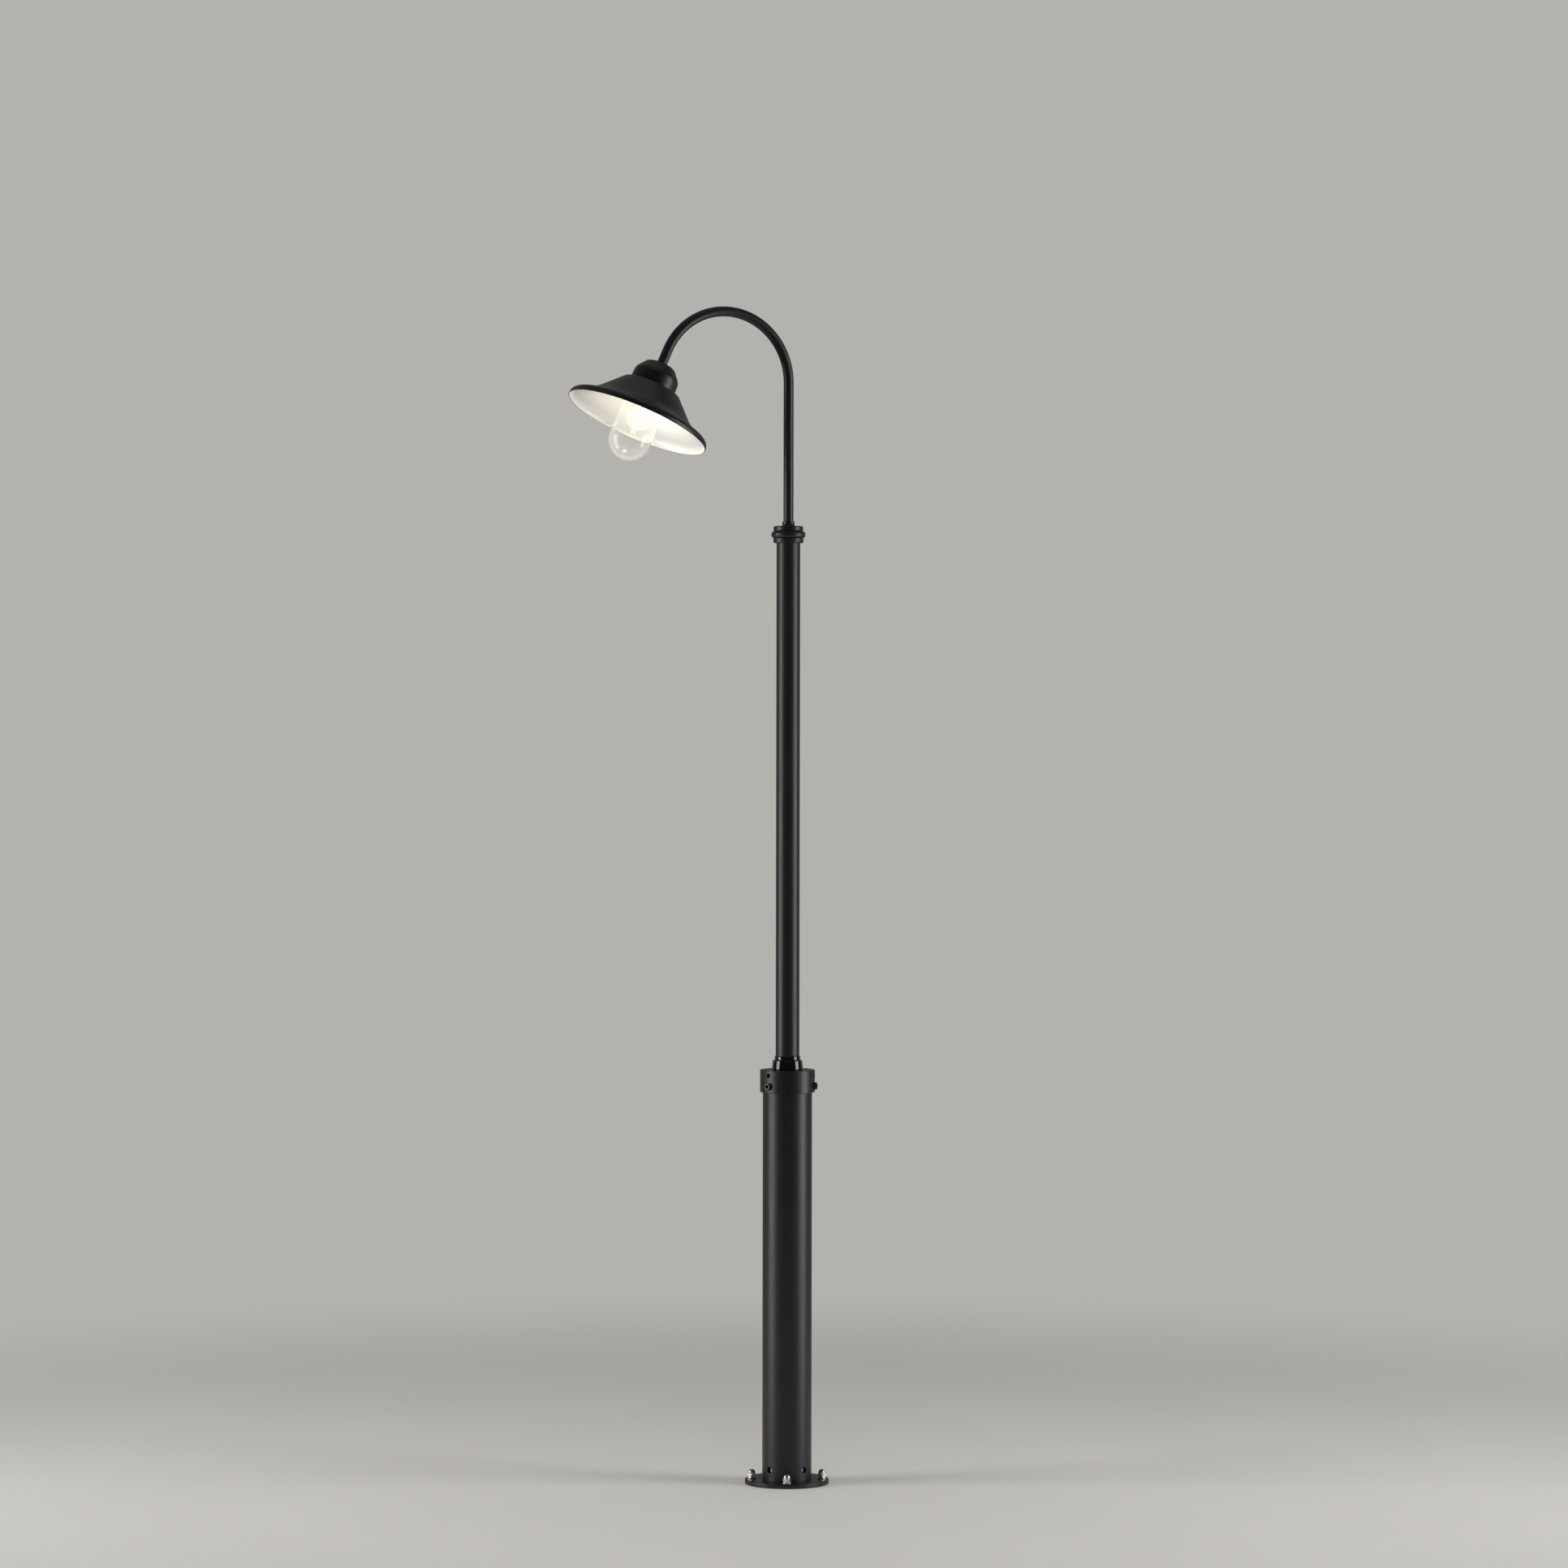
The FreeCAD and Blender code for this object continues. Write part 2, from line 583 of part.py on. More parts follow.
def shade_line(c, offset):
    """Edges of the shade's section, offset inside its outer face, and their two ends.

    From the hole outwards: flat top, rounded corner, cone, hollow flare, brim, rolled lip, hem.
    """
    slope, brim = math.radians(c.shade_slope.value), math.radians(c.shade_brim_slope.value)
    top = c.cap_deep.value
    bite = c.shade_corner_round.value * math.tan(slope / 2)
    cone = (c.shade_waist.value - c.shade_corner.value) / math.cos(slope) - bite
    steps = [("run", c.shade_corner.value - bite - c.shade_hole.value),
             ("bend", c.shade_corner_round.value, slope), ("run", cone),
             ("bend", c.shade_flare.value, brim - slope), ("run", c.shade_brim.value),
             ("bend", c.shade_lip.value, math.pi / 2 - brim), ("run", c.shade_hem.value)]
    at, heading = Vector(c.shade_hole.value, 0, top), 0.0

    def aside(spot, angle):
        return spot + Vector(-math.sin(angle), 0, math.cos(angle)) * offset

    edges = []
    first = aside(at, heading)
    for step in steps:
        ahead = Vector(math.cos(heading), 0, math.sin(heading))
        if step[0] == "run":
            end = at + ahead * step[1]
            edges.append(Part.LineSegment(aside(at, heading), aside(end, heading)).toShape())
            at = end
            continue
        radius, turn = step[1:]
        side = 1 if turn > 0 else -1
        centre = at + Vector(-math.sin(heading), 0, math.cos(heading)) * (radius * side)

        def on_arc(angle):
            return centre - Vector(-math.sin(angle), 0, math.cos(angle)) * (radius * side)

        middle, final = heading + turn / 2, heading + turn
        edges.append(Part.Arc(aside(at, heading), aside(on_arc(middle), middle),
                              aside(on_arc(final), final)).toShape())
        at, heading = on_arc(final), final
    return edges, first, aside(at, heading)


def make_shade():
    """Spun sheet shade, turned from its section between the outer and the inner line."""
    c = cells
    outer, outer_first, outer_last = shade_line(c, 0)
    inner, inner_first, inner_last = shade_line(c, c.shade_sheet.value)
    ends = [Part.makeLine(outer_first, inner_first), Part.makeLine(outer_last, inner_last)]
    section = Part.Face(Part.Wire(Part.__sortEdges__(outer + inner + ends)))
    shade = doc.addObject("Part::Feature", "shade")
    shade.Shape = section.revolve(Vector(0, 0, 0), Vector(0, 0, 1), 360)
    shade.Placement = HEAD
    node(shade, "shade")
    under = c.cap_deep + c.shade_sheet
    node(tube("shade_ring", c.clamp_ring, c.cap_neck + SCREW_FIT, under, under + c.clamp_ring_high, HEAD),
         "shade_ring")


def make_globe():
    """Glass cylinder with a round end, and the rubber gasket above its mouth."""
    c = cells
    inner = c.globe_radius - c.globe_glass
    node(turned("glass_globe", [
        (inner, c.globe_mouth), (c.globe_radius, c.globe_mouth), (c.globe_radius, c.globe_centre),
        (0, c.globe_centre + c.globe_radius, c.globe_radius, -1), (0, c.globe_centre + inner),
        (inner, c.globe_centre, inner, 1)], HEAD), "glass_globe")
    node(tube("globe_gasket", c.cap_bore - SCREW_FIT, c.cap_seat + 0.6, c.cap_seat_deep,
              c.cap_seat_deep + c.gasket_thick, HEAD), "globe_gasket")


def make_lampholder():
    """Bracket, nipple and lampholder, and the terminals above them inside the cap."""
    c = cells
    under = c.bracket_deep + c.bracket_thick
    disc = tube("bracket_disc", c.bracket_radius, c.nipple_radius + SCREW_FIT, c.bracket_deep, under, HEAD)
    above = c.bracket_deep - 1
    drills = [rod(f"bracket_drill_{i}", 2 + SCREW_FIT, 4, in_head(y=c.post_offset * side, deep=above))
              for i, side in enumerate((-1, 1))]
    drills += [rod(f"wire_hole_{i}", 3, 4, in_head(x=12, y=18 * side, deep=above))
               for i, side in enumerate((-1, 1))]
    drills.append(rod("earth_hole", 2 + SCREW_FIT, 4, in_head(x=-22, deep=above)))
    node(cut("lampholder_bracket", disc, drills), "lampholder_bracket")
    screws = []
    for i, side in enumerate((-1, 1)):
        shank = rod(f"bracket_shank_{i}", 2, under - c.bracket_deep + 8,
                    in_head(y=c.post_offset * side, deep=c.bracket_deep - 8))
        head = rod(f"bracket_head_{i}", 3.5, 2.4, in_head(y=c.post_offset * side, deep=under))
        screws.append(joined(f"bracket_screw_{i}", [shank, head]))
    node(group("bracket_screws", screws), "bracket_screws")
    shank = rod("earth_shank", 2, under - c.bracket_deep + 3.5, in_head(x=-22, deep=c.bracket_deep))
    head = rod("earth_head", 3.5, 2.4, in_head(x=-22, deep=c.bracket_deep - 2.4))
    node(joined("earth_screw", [shank, head]), "earth_screw")
    node(tube("lampholder_nipple", c.nipple_radius, c.nipple_bore, c.nipple_deep, c.nipple_end, HEAD),
         "lampholder_nipple")
    nut = hexagon("nipple_hex", 14, 3.5, in_head(deep=c.bracket_deep - 3.5))
    hole = rod("nipple_hole", c.nipple_radius + SCREW_FIT, 6, in_head(deep=c.bracket_deep - 5))
    node(cut("nipple_nut", nut, [hole]), "nipple_nut")
    slip = c.nipple_radius + SCREW_FIT
    node(turned("lampholder_shell", [
        (slip, c.holder_deep), (c.holder_radius - 5, c.holder_deep),
        (c.holder_radius, c.holder_deep + 5, 5, -1), (c.holder_radius, c.holder_mouth - 1),
        (c.holder_radius - 1, c.holder_mouth), (c.holder_bore, c.holder_mouth),
        (c.holder_bore, c.holder_floor), (slip, c.holder_floor)], HEAD), "lampholder_shell")
    node(tube("lampholder_thread", c.holder_bore - 0.1, c.bulb_cap_radius + 0.7, c.holder_floor + 4,
              c.holder_mouth - 1, HEAD), "lampholder_thread")
    node(block("lampholder_contact", 22, 5, 0.8, in_head(x=-11, y=-2.5, deep=c.holder_floor)),
         "lampholder_contact")
    body = block("terminal_body", 14, 24, 11, in_head(x=13, y=-12, deep=c.bracket_deep - 11))
    wells = [rod(f"terminal_well_{i}", 2.2, 6, in_head(x=20, y=offset, deep=c.bracket_deep - 12))
             for i, offset in enumerate((-7.5, 0, 7.5))]
    node(cut("terminal_block", body, wells), "terminal_block")


def make_bulb():
    """Screw-in bulb: a metal cap, a thin glass ball with a conical neck, a stem and four filaments."""
    c = cells
    node(turned("bulb_cap", [
        (0, c.bulb_tip), (4.8, c.bulb_tip), (4.8, c.bulb_tip + 1.5), (8.5, c.bulb_tip + 3),
        (c.bulb_cap_radius, c.bulb_tip + 6), (c.bulb_cap_radius, c.bulb_cap_deep), (0, c.bulb_cap_deep)],
        HEAD), "bulb_cap")
    centre = c.bulb_end - c.bulb_radius
    neck_low = c.bulb_cap_deep + 0.1

    def half_section(radius, neck):
        """The neck's start and the point where its straight side meets the ball."""
        reach = Vector(neck, neck_low.value - centre.value, 0)
        lift = math.atan2(reach.x, -reach.y) + math.acos(radius / reach.Length)
        return radius * math.sin(lift), centre.value - radius * math.cos(lift)

    outer, inner = c.bulb_radius.value, c.bulb_radius.value - c.bulb_glass.value
    neck_outer = c.bulb_cap_radius.value - 0.2
    neck_inner = neck_outer - c.bulb_glass.value
    outer_x, outer_z = half_section(outer, neck_outer)
    inner_x, inner_z = half_section(inner, neck_inner)
    node(turned("bulb_glass", [
        (neck_inner, neck_low), (neck_outer, neck_low), (outer_x, outer_z), (0, c.bulb_end, outer, -1),
        (0, c.bulb_end - c.bulb_glass), (inner_x, inner_z, inner, 1)], HEAD), "bulb_glass")
    node(turned("bulb_stem", [
        (0, neck_low), (8, neck_low), (2.6, neck_low + 12), (1.4, neck_low + 14),
        (1.4, centre + 11), (0, centre + 11)], HEAD), "bulb_stem")
    sticks = []
    for i, angle in enumerate(around(4, 45)):
        foot = Vector(7, 0, centre.value - 12)
        lean = HEAD * Placement(Vector(), Rotation(Vector(0, 0, 1), angle)) * Placement(
            foot, Rotation(Vector(0, 1, 0), -10))
        sticks.append(rod(f"filament_{i}", 0.9, 24, lean))
    node(group("bulb_filaments", sticks), "bulb_filaments")


# ---------------------------------------------------------------- build, test and write

MAKERS = (make_base_plate, make_base_ring, make_lock_screws, make_anchor_hardware, make_lower_pole,
          make_pole_collar, make_collar_screws, make_swivel_bush, make_mast, make_finial, make_arm,
          make_arm_nuts, make_cap, make_shade, make_globe, make_lampholder, make_bulb)


def test_document():
    """Stops on a failed object or a bad solid, which recompute alone doesn't report."""
    for part in doc.Objects:
        if "Invalid" in part.State or "Error" in part.State:
            raise RuntimeError(f"{part.Name} failed: {part.State}")
    for part in nodes:
        if part.Shape.isNull() or not part.Shape.isValid():
            raise RuntimeError(f"{part.Label} has no valid shape")


def test_arm():
    """The arm's volume is its section times its length."""
    c = cells
    arc = math.radians(c.arm_turn.value) * c.arm_bend.value
    length = (c.arm_spring - c.arm_base + c.arm_drop + c.arm_in_cap).value + arc
    inner = (c.arm_radius - c.arm_wall).value
    section = math.pi * (c.arm_radius.value ** 2 - inner ** 2)
    volume = [part for part in nodes if part.Label == "arm_tube"][0].Shape.Volume
    if abs(volume / (section * length) - 1) > 0.002:
        raise RuntimeError(f"arm volume {volume:.0f}, expected {section * length:.0f}")


def main():
    for make in MAKERS:
        make()
    doc.recompute()
    test_document()
    test_arm()
    os.makedirs("parts", exist_ok=True)
    for part in nodes:
        part.Shape.exportStep(os.path.join("parts", part.Label + ".step"))
        print(f"{part.Label}: {len(part.Shape.Solids)} solid(s), {part.Shape.Volume / 1000:.1f} cm3")


main()
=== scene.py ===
"""Street lamp post: a swivelling mast on a bolted foot, with a gooseneck arm and a hooded glass lamp."""

import json
import math

import bmesh
import bpy
from bpy.props import FloatProperty, FloatVectorProperty, IntProperty, PointerProperty
from mathutils import Matrix, Quaternion, Vector

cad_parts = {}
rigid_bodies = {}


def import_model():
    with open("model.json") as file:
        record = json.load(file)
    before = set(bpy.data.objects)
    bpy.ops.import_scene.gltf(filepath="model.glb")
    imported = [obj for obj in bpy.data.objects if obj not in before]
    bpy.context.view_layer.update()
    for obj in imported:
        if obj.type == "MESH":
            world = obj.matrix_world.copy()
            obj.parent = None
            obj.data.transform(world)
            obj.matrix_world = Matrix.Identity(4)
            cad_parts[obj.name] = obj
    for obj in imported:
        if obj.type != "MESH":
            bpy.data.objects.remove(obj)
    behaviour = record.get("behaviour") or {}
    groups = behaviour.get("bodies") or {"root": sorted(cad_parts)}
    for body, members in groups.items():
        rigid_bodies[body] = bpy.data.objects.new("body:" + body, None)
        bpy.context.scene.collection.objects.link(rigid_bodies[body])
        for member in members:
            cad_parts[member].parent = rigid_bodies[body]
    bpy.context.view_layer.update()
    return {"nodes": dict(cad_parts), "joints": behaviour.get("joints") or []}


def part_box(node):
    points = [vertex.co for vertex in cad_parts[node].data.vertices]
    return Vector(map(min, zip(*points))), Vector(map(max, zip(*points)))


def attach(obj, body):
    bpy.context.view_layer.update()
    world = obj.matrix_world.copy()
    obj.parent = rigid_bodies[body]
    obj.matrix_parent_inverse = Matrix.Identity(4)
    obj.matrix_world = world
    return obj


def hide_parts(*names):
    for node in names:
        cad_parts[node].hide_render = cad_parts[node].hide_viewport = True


for leftover in list(bpy.data.objects):
    bpy.data.objects.remove(leftover)

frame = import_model()

bl_info = {
    "name": "Street Lamp Post",
    "version": (1, 0, 0),
    "blender": (4, 5, 0),
    "location": "View3D > Sidebar > Lamp Post",
    "description": "Dresses the packed lamp post with its finished pieces, materials and a plain studio",
    "category": "Object",
}

MM = 0.001
SHARP = math.radians(32)  # an edge that bends more than this stays sharp
SMALL_STEPS = 48  # steps round the bulb's small parts
TUBE_STEPS = 64  # steps round the arm and the washers
HEX_STEPS = 72  # a multiple of twelve, so that a hexagon's corners fall on the steps
ROUND_STEPS = 96
GLOBE_STEPS = 128
KNURL_STEPS = 144  # four to each of the 36 ridges
SHADE_STEPS = 160
BEND_STEPS = 10  # along each run and each bend of the shade's sheet
ON_AXIS = 1e-7  # a point of a section nearer the axis than this is one vertex, in metres
GASKET_DEPTH = 25.3 * MM  # middle of the globe's gasket, down the lamp's axis from the top of the cap
FINISHES = {}


# ---------------------------------------------------------------- sizes and colours a user may change


def linear(code):
    """Linear RGBA of an sRGB hex colour."""
    parts = [int(code[i : i + 2], 16) / 255 for i in (0, 2, 4)]
    straight = [p / 12.92 if p <= 0.04045 else ((p + 0.055) / 1.055) ** 2.4 for p in parts]
    return (*straight, 1.0)


def length(name, description, mm):
    """A length, with its default in millimetres."""
    return FloatProperty(name=name, description=description, default=mm * MM, min=0.0, precision=4,
                         unit="LENGTH", subtype="DISTANCE")


def angle(name, description, degrees):
    """An angle, with its default in degrees."""
    return FloatProperty(name=name, description=description, default=math.radians(degrees), subtype="ANGLE")


def power(name, description, watts):
    """The power of a light, in watts."""
    return FloatProperty(name=name, description=description, default=watts, min=0.0, unit="POWER",
                         subtype="POWER")


def colour(name, description, code):
    """A colour, with its default in sRGB hex."""
    return FloatVectorProperty(name=name, description=description, default=linear(code), size=4, min=0.0,
                               max=1.0, subtype="COLOR")


class FixingSizes(bpy.types.PropertyGroup):
    """Sizes of the nuts, washers and screws"""

    nut_flats: length("Nut across flats", "Dome nut across its flats, M8", 13)
    nut_hex: length("Nut hexagon height", "Height of the dome nut's hexagon", 6.5)
    nut_dome: length("Nut dome radius", "Radius of the dome nut's cap", 6.25)
    nut_bore: length("Nut bore radius", "Radius of the hole for the stud", 4)
    washer_radius: length("Washer radius", "Outside radius of the washers", 8)
    washer_bore: length("Washer bore radius", "Hole radius of the washers", 4.2)
    head_radius: length("Screw head radius", "Radius of the collar's M8 cap screw heads", 6.5)
    head_stand: length("Screw head stand-off", "How far the screw heads stand out of the collar", 5.2)
    head_height: length("Screw head height", "Whole height of a cap screw head", 8)
    socket_flats: length("Socket across flats", "Hexagon socket of the cap screws", 6)
    knurl_count: IntProperty(name="Knurl count", description="Ridges round a screw head", default=36, min=12)
    knurl_depth: length("Knurl depth", "Depth of the ridges round a cap screw head", 0.28)
    lock_radius: length("Lock screw radius", "Thread radius of the screws that lock the pole, M10", 5)
    lock_sunk: length("Lock screw sunk", "How far their faces lie below the ring's face", 4.6)
    lock_length: length("Lock screw length", "Length of the screws that lock the pole", 6)
    lock_flats: length("Lock screw socket", "Across flats of their sockets", 6)
    grub_radius: length("Groove screw radius", "Thread radius of the screws in the bush's groove, M8", 4)
    grub_sunk: length("Groove screw sunk", "How far their faces lie below the collar's face", 8)
    grub_length: length("Groove screw length", "Length of the screws that run in the bush's groove", 9.5)
    grub_flats: length("Groove screw socket", "Across flats of their sockets", 4)


class GlandSizes(bpy.types.PropertyGroup):
    """Sizes of the bush and its gland nut"""

    bore: length("Bore radius", "Hole radius round the mast", 21.5)
    skirt: length("Skirt radius", "Widest radius above the collar", 28)
    neck: length("Neck radius", "Radius of the bush under the gland nut", 26.3)
    collar_wall: length("Collar wall", "From the collar's face to the bush's hub", 15.3)
    groove: length("Groove half width", "Half the width of the groove for the set screws", 4.5)
    groove_radius: length("Groove radius", "Radius at the bottom of the groove", 31.2)


class ArmSizes(bpy.types.PropertyGroup):
    """Sizes of the gooseneck arm"""

    radius: length("Tube radius", "Outside radius of the arm's tube", 9)
    wall: length("Tube wall", "Wall of the arm's tube", 1.5)
    bend: length("Bend radius", "Radius of the arm's bend, to the tube's centre", 123.2)


class ShadeSizes(bpy.types.PropertyGroup):
    """Section of the spun shade, from its hole to its hem"""

    sheet: length("Sheet", "Thickness of the spun sheet", 1.2)
    hole: length("Hole radius", "Radius of the hole round the cap's neck", 40.7)
    corner: length("Corner radius from axis", "Where the flat top would meet the cone", 52)
    corner_round: length("Corner rounding", "Bend radius between the flat top and the cone", 5)
    slope: angle("Cone slope", "Slope of the cone below level", 46.2)
    waist: length("Waist radius", "Radius at which the cone starts to flare", 84)
    flare: length("Flare radius", "Radius of the hollow flare", 77)
    brim_slope: angle("Brim slope", "Slope of the brim below level", 18.8)
    brim: length("Brim", "Straight run of the brim", 8.5)
    lip: length("Lip radius", "Radius of the rolled lip", 11)
    hem: length("Hem", "Straight hem below the lip", 3)


class GlobeSizes(bpy.types.PropertyGroup):
    """Sizes of the glass globe, with depths down the lamp's axis from the top of the cap"""

    radius: length("Globe radius", "Outside radius of the glass", 38.1)
    glass: length("Glass", "Wall of the globe", 2.5)
    mouth: length("Mouth depth", "Depth of the globe's upper edge", 27)
    centre: length("End centre depth", "Depth of the centre of the round end", 148.6)


class BulbSizes(bpy.types.PropertyGroup):
    """Sizes of the bulb, with depths down the lamp's axis from the top of the cap"""

    tip: length("Contact depth", "Depth of the centre contact", 51.2)
    cap_radius: length("Cap radius", "Crest radius of the screw cap", 13)
    cap_end: length("Cap depth", "Depth at which the cap ends", 77)
    thread_pitch: length("Thread pitch", "Pitch of the screw cap's thread", 3.62)
    thread_depth: length("Thread depth", "Depth of the screw cap's thread", 1.1)
    radius: length("Ball radius", "Outside radius of the bulb's ball", 22.5)
    end: length("Ball depth", "Depth of the lowest point of the bulb", 130)
    glass: length("Glass", "Wall of the bulb", 0.8)
    filament: length("Filament length", "Length of each light-emitting stick", 24)
    filament_radius: length("Filament radius", "Radius of each stick", 0.9)
    light: length("Light depth", "Depth of the middle of the bulb's light", 88)


class Finishes(bpy.types.PropertyGroup):
    """Colours of the finishes"""

    coat: colour("Powder coat", "Matt black powder coat on tube and sheet", "141518")
    casting: colour("Cast parts", "Powder coat on the cast cap, collar and finial", "141416")
    enamel: colour("Enamel", "White enamel inside the shade", "F4F2EE")
    polymer: colour("Polymer", "Gloss black bush and gland nut", "0C0C0D")
    zinc: colour("Zinc plate", "Bright nuts, washers and set screws", "DADBDD")
    oxide: colour("Black oxide", "Oiled black steel of the collar screws", "4A4743")
    nickel: colour("Nickel plate", "Plated cap of the bulb", "BDB7AC")
    brass: colour("Brass", "Contacts and earth screw", "C79A4B")
    # Also the colour of the painted glow on the globe's and the bulb's glass.
    glow: colour("Glow", "Warm light of the filaments", "FFEFDC")
    floor: colour("Floor", "Plain studio floor", "ECE9E4")
    backdrop: colour("Backdrop", "Plain studio surround", "B4B2AF")


class StudioSizes(bpy.types.PropertyGroup):
    """Camera and lights"""

    heading: angle("Heading", "Direction the camera looks, turned from the +Y axis towards +X", 24.7)
    distance: length("Distance", "Camera to the post's axis, along its line of sight", 8548)
    aside: length("Aside", "Post's axis to the right of the line of sight", 26.0)
    height: length("Height", "Camera above the floor", 1332)
    roll: angle("Roll", "Small roll of the camera", 0.1)
    lens: FloatProperty(name="Lens", description="Focal length", default=109.85, min=1, unit="CAMERA",
                        subtype="DISTANCE_CAMERA")
    shift_x: FloatProperty(name="Shift X", description="Sideways lens shift", default=0.0067)
    shift_y: FloatProperty(name="Shift Y", description="Upright lens shift", default=-0.03)
    side_power: power("Side lights", "Power of each tall soft light", 66)
    top_power: power("Top light", "Power of the soft light overhead", 4.5)
    front_power: power("Front light", "Power of the light on the camera's side", 34)
    floor_power: power("Floor light", "Power of the light for the floor", 30)
    lamp_power: power("Lamp", "Power of the lit bulb", 0.1)
    fill: FloatProperty(name="Fill", description="Brightness on the camera's side", default=0.03)
    wall: FloatProperty(name="Wall", description="Brightness behind the post", default=0.54)


GROUPS = {
    "post_fixings": FixingSizes,
    "post_gland": GlandSizes,
    "post_arm": ArmSizes,
    "post_shade": ShadeSizes,
    "post_globe": GlobeSizes,
    "post_bulb": BulbSizes,
    "post_finishes": Finishes,
    "post_studio": StudioSizes,
}


# ---------------------------------------------------------------- where things are, read from the frame


def lamp_axis():
    """Unit vector down the lamp's axis: the way the globe comes off."""
    return next(Vector(j["axis"]) for j in frame["joints"] if j["name"] == "globe_removal").normalized()


def lamp_place():
    """Matrix of the lamp head: origin at the top of the cap, +Z down its axis, +X away from the post."""
    down = lamp_axis()
    low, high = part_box("globe_gasket")
    origin = (low + high) / 2 - down * GASKET_DEPTH
    across = Vector((0, 1, 0)).cross(down).normalized()
    turn = Matrix((across, down.cross(across), down)).transposed()
    return Matrix.Translation(origin) @ turn.to_4x4()


def solid_centres(node):
    """Centre of the box of each separate solid of a CAD node."""
    bm = bmesh.new()
    bm.from_mesh(frame["nodes"][node].data)
    bmesh.ops.remove_doubles(bm, verts=bm.verts, dist=0.002 * MM)
    left, centres = set(bm.verts), []
    while left:
        found, edge = set(), [next(iter(left))]
        while edge:
            vert = edge.pop()
            if vert in found:
                continue
            found.add(vert)
            edge += [e.other_vert(vert) for e in vert.link_edges]
        left -= found
        low = Vector(min(v.co[i] for v in found) for i in range(3))
        high = Vector(max(v.co[i] for v in found) for i in range(3))
        centres.append((low + high) / 2)
    bm.free()
    return sorted(centres, key=lambda c: math.atan2(c.y, c.x))


def spokes(node, reach):
    """For each of a node's screws, a matrix this far from the post's axis whose +Z points straight out."""
    places = []
    for centre in solid_centres(node):
        out = Vector((centre.x, centre.y, 0)).normalized()
        turn = out.to_track_quat("Z", "Y").to_matrix().to_4x4()
        places.append(Matrix.Translation(out * reach + Vector((0, 0, centre.z))) @ turn)
    return places


# ---------------------------------------------------------------- mesh work


def arc(centre, radius, start, end, steps):
    """Points of an arc in a section, angles in degrees from the outward direction."""
    angles = [math.radians(start + (end - start) * i / steps) for i in range(steps + 1)]
    return [(centre[0] + radius * math.cos(a), centre[1] + radius * math.sin(a)) for a in angles]


def softened(corners, steps=4):
    """A closed section from corners (radius, height, bite), each rounded off where its bite isn't zero."""
    points = []
    for i, (x, y, bite) in enumerate(corners):
        here = Vector((x, y))
        if not bite:
            points.append((x, y))
            continue
        before = Vector(corners[i - 1][:2]) - here
        after = Vector(corners[(i + 1) % len(corners)][:2]) - here
        start = here + before.normalized() * min(bite, before.length * 0.49)
        end = here + after.normalized() * min(bite, after.length * 0.49)
        for k in range(steps + 1):
            t = k / steps
            points.append(tuple(start * (1 - t) ** 2 + here * (2 * t * (1 - t)) + end * t**2))
    return points


def hexagon(flats):
    """Form that cuts a round section down to a hexagon."""

    def form(turn, radius, depth):
        off = (turn + math.pi / 6) % (math.pi / 3) - math.pi / 6
        return min(radius, flats / 2 / math.cos(off))

    return form


def spin(bm, section, place, steps, split=None):
    """Turns a closed section, given as (radius, height) or (radius, height, form), round the place's Z axis.

    Faces made from points at and after split take the second material.
    """
    turns = [2 * math.pi * i / steps for i in range(steps)]
    rings = []
    for point in section:
        radius, height = point[:2]
        form = point[2] if len(point) > 2 else None
        if radius < ON_AXIS:
            rings.append([bm.verts.new(place @ Vector((0, 0, height)))])
            continue
        ring = []
        for turn in turns:
            reach = form(turn, radius, height) if form else radius
            spot = Vector((reach * math.cos(turn), reach * math.sin(turn), height))
            ring.append(bm.verts.new(place @ spot))
        rings.append(ring)
    for i, ring in enumerate(rings):
        after = rings[(i + 1) % len(rings)]
        if len(ring) == 1 and len(after) == 1:
            continue
        for k in range(steps):
            n = (k + 1) % steps
            if len(ring) == 1:
                corners = (ring[0], after[k], after[n])
            elif len(after) == 1:
                corners = (ring[k], ring[n], after[0])
            else:
                corners = (ring[k], ring[n], after[n], after[k])
            face = bm.faces.new(corners)
            face.material_index = 1 if split is not None and i >= split else 0


def sweep(bm, path, radius, steps, bore=0.0):
    """Tube or solid wire along a path, with closed ends."""
    turns = [2 * math.pi * k / steps for k in range(steps)]
    reaches = (radius, bore) if bore else (radius,)
    side, layers = None, [[] for _ in reaches]
    for i, here in enumerate(path):
        ahead = (path[min(i + 1, len(path) - 1)] - path[max(i - 1, 0)]).normalized()
        side = ahead.orthogonal() if side is None else side - ahead * side.dot(ahead)
        side = side.normalized()
        rise = ahead.cross(side)
        fan = [side * math.cos(t) + rise * math.sin(t) for t in turns]
        for layer, reach in zip(layers, reaches):
            layer.append([bm.verts.new(here + spoke * reach) for spoke in fan])
    strips = [pair for layer in layers for pair in zip(layer, layer[1:])]
    if bore:
        strips += [(layers[0][0], layers[1][0]), (layers[0][-1], layers[1][-1])]
    for a, b in strips:
        for k in range(steps):
            n = (k + 1) % steps
            bm.faces.new((a[k], a[n], b[n], b[k]))
    if not bore:
        bm.faces.new(layers[0][0])
        bm.faces.new(layers[0][-1])


def finished(bm, name, materials, body, nodes):
    """Makes the piece from its mesh, smooth but for its real edges, and sets it on its body."""
    bmesh.ops.recalc_face_normals(bm, faces=bm.faces)
    for face in bm.faces:
        face.smooth = True
    for edge in bm.edges:
        edge.smooth = len(edge.link_faces) == 2 and edge.calc_face_angle(0) < SHARP
    mesh = bpy.data.meshes.new(name)
    bm.to_mesh(mesh)
    bm.free()
    for material in materials:
        mesh.materials.append(material)
    piece = bpy.data.objects.new(name, mesh)
    bpy.context.scene.collection.objects.link(piece)
    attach(piece, body)
    if nodes:
        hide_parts(*nodes)


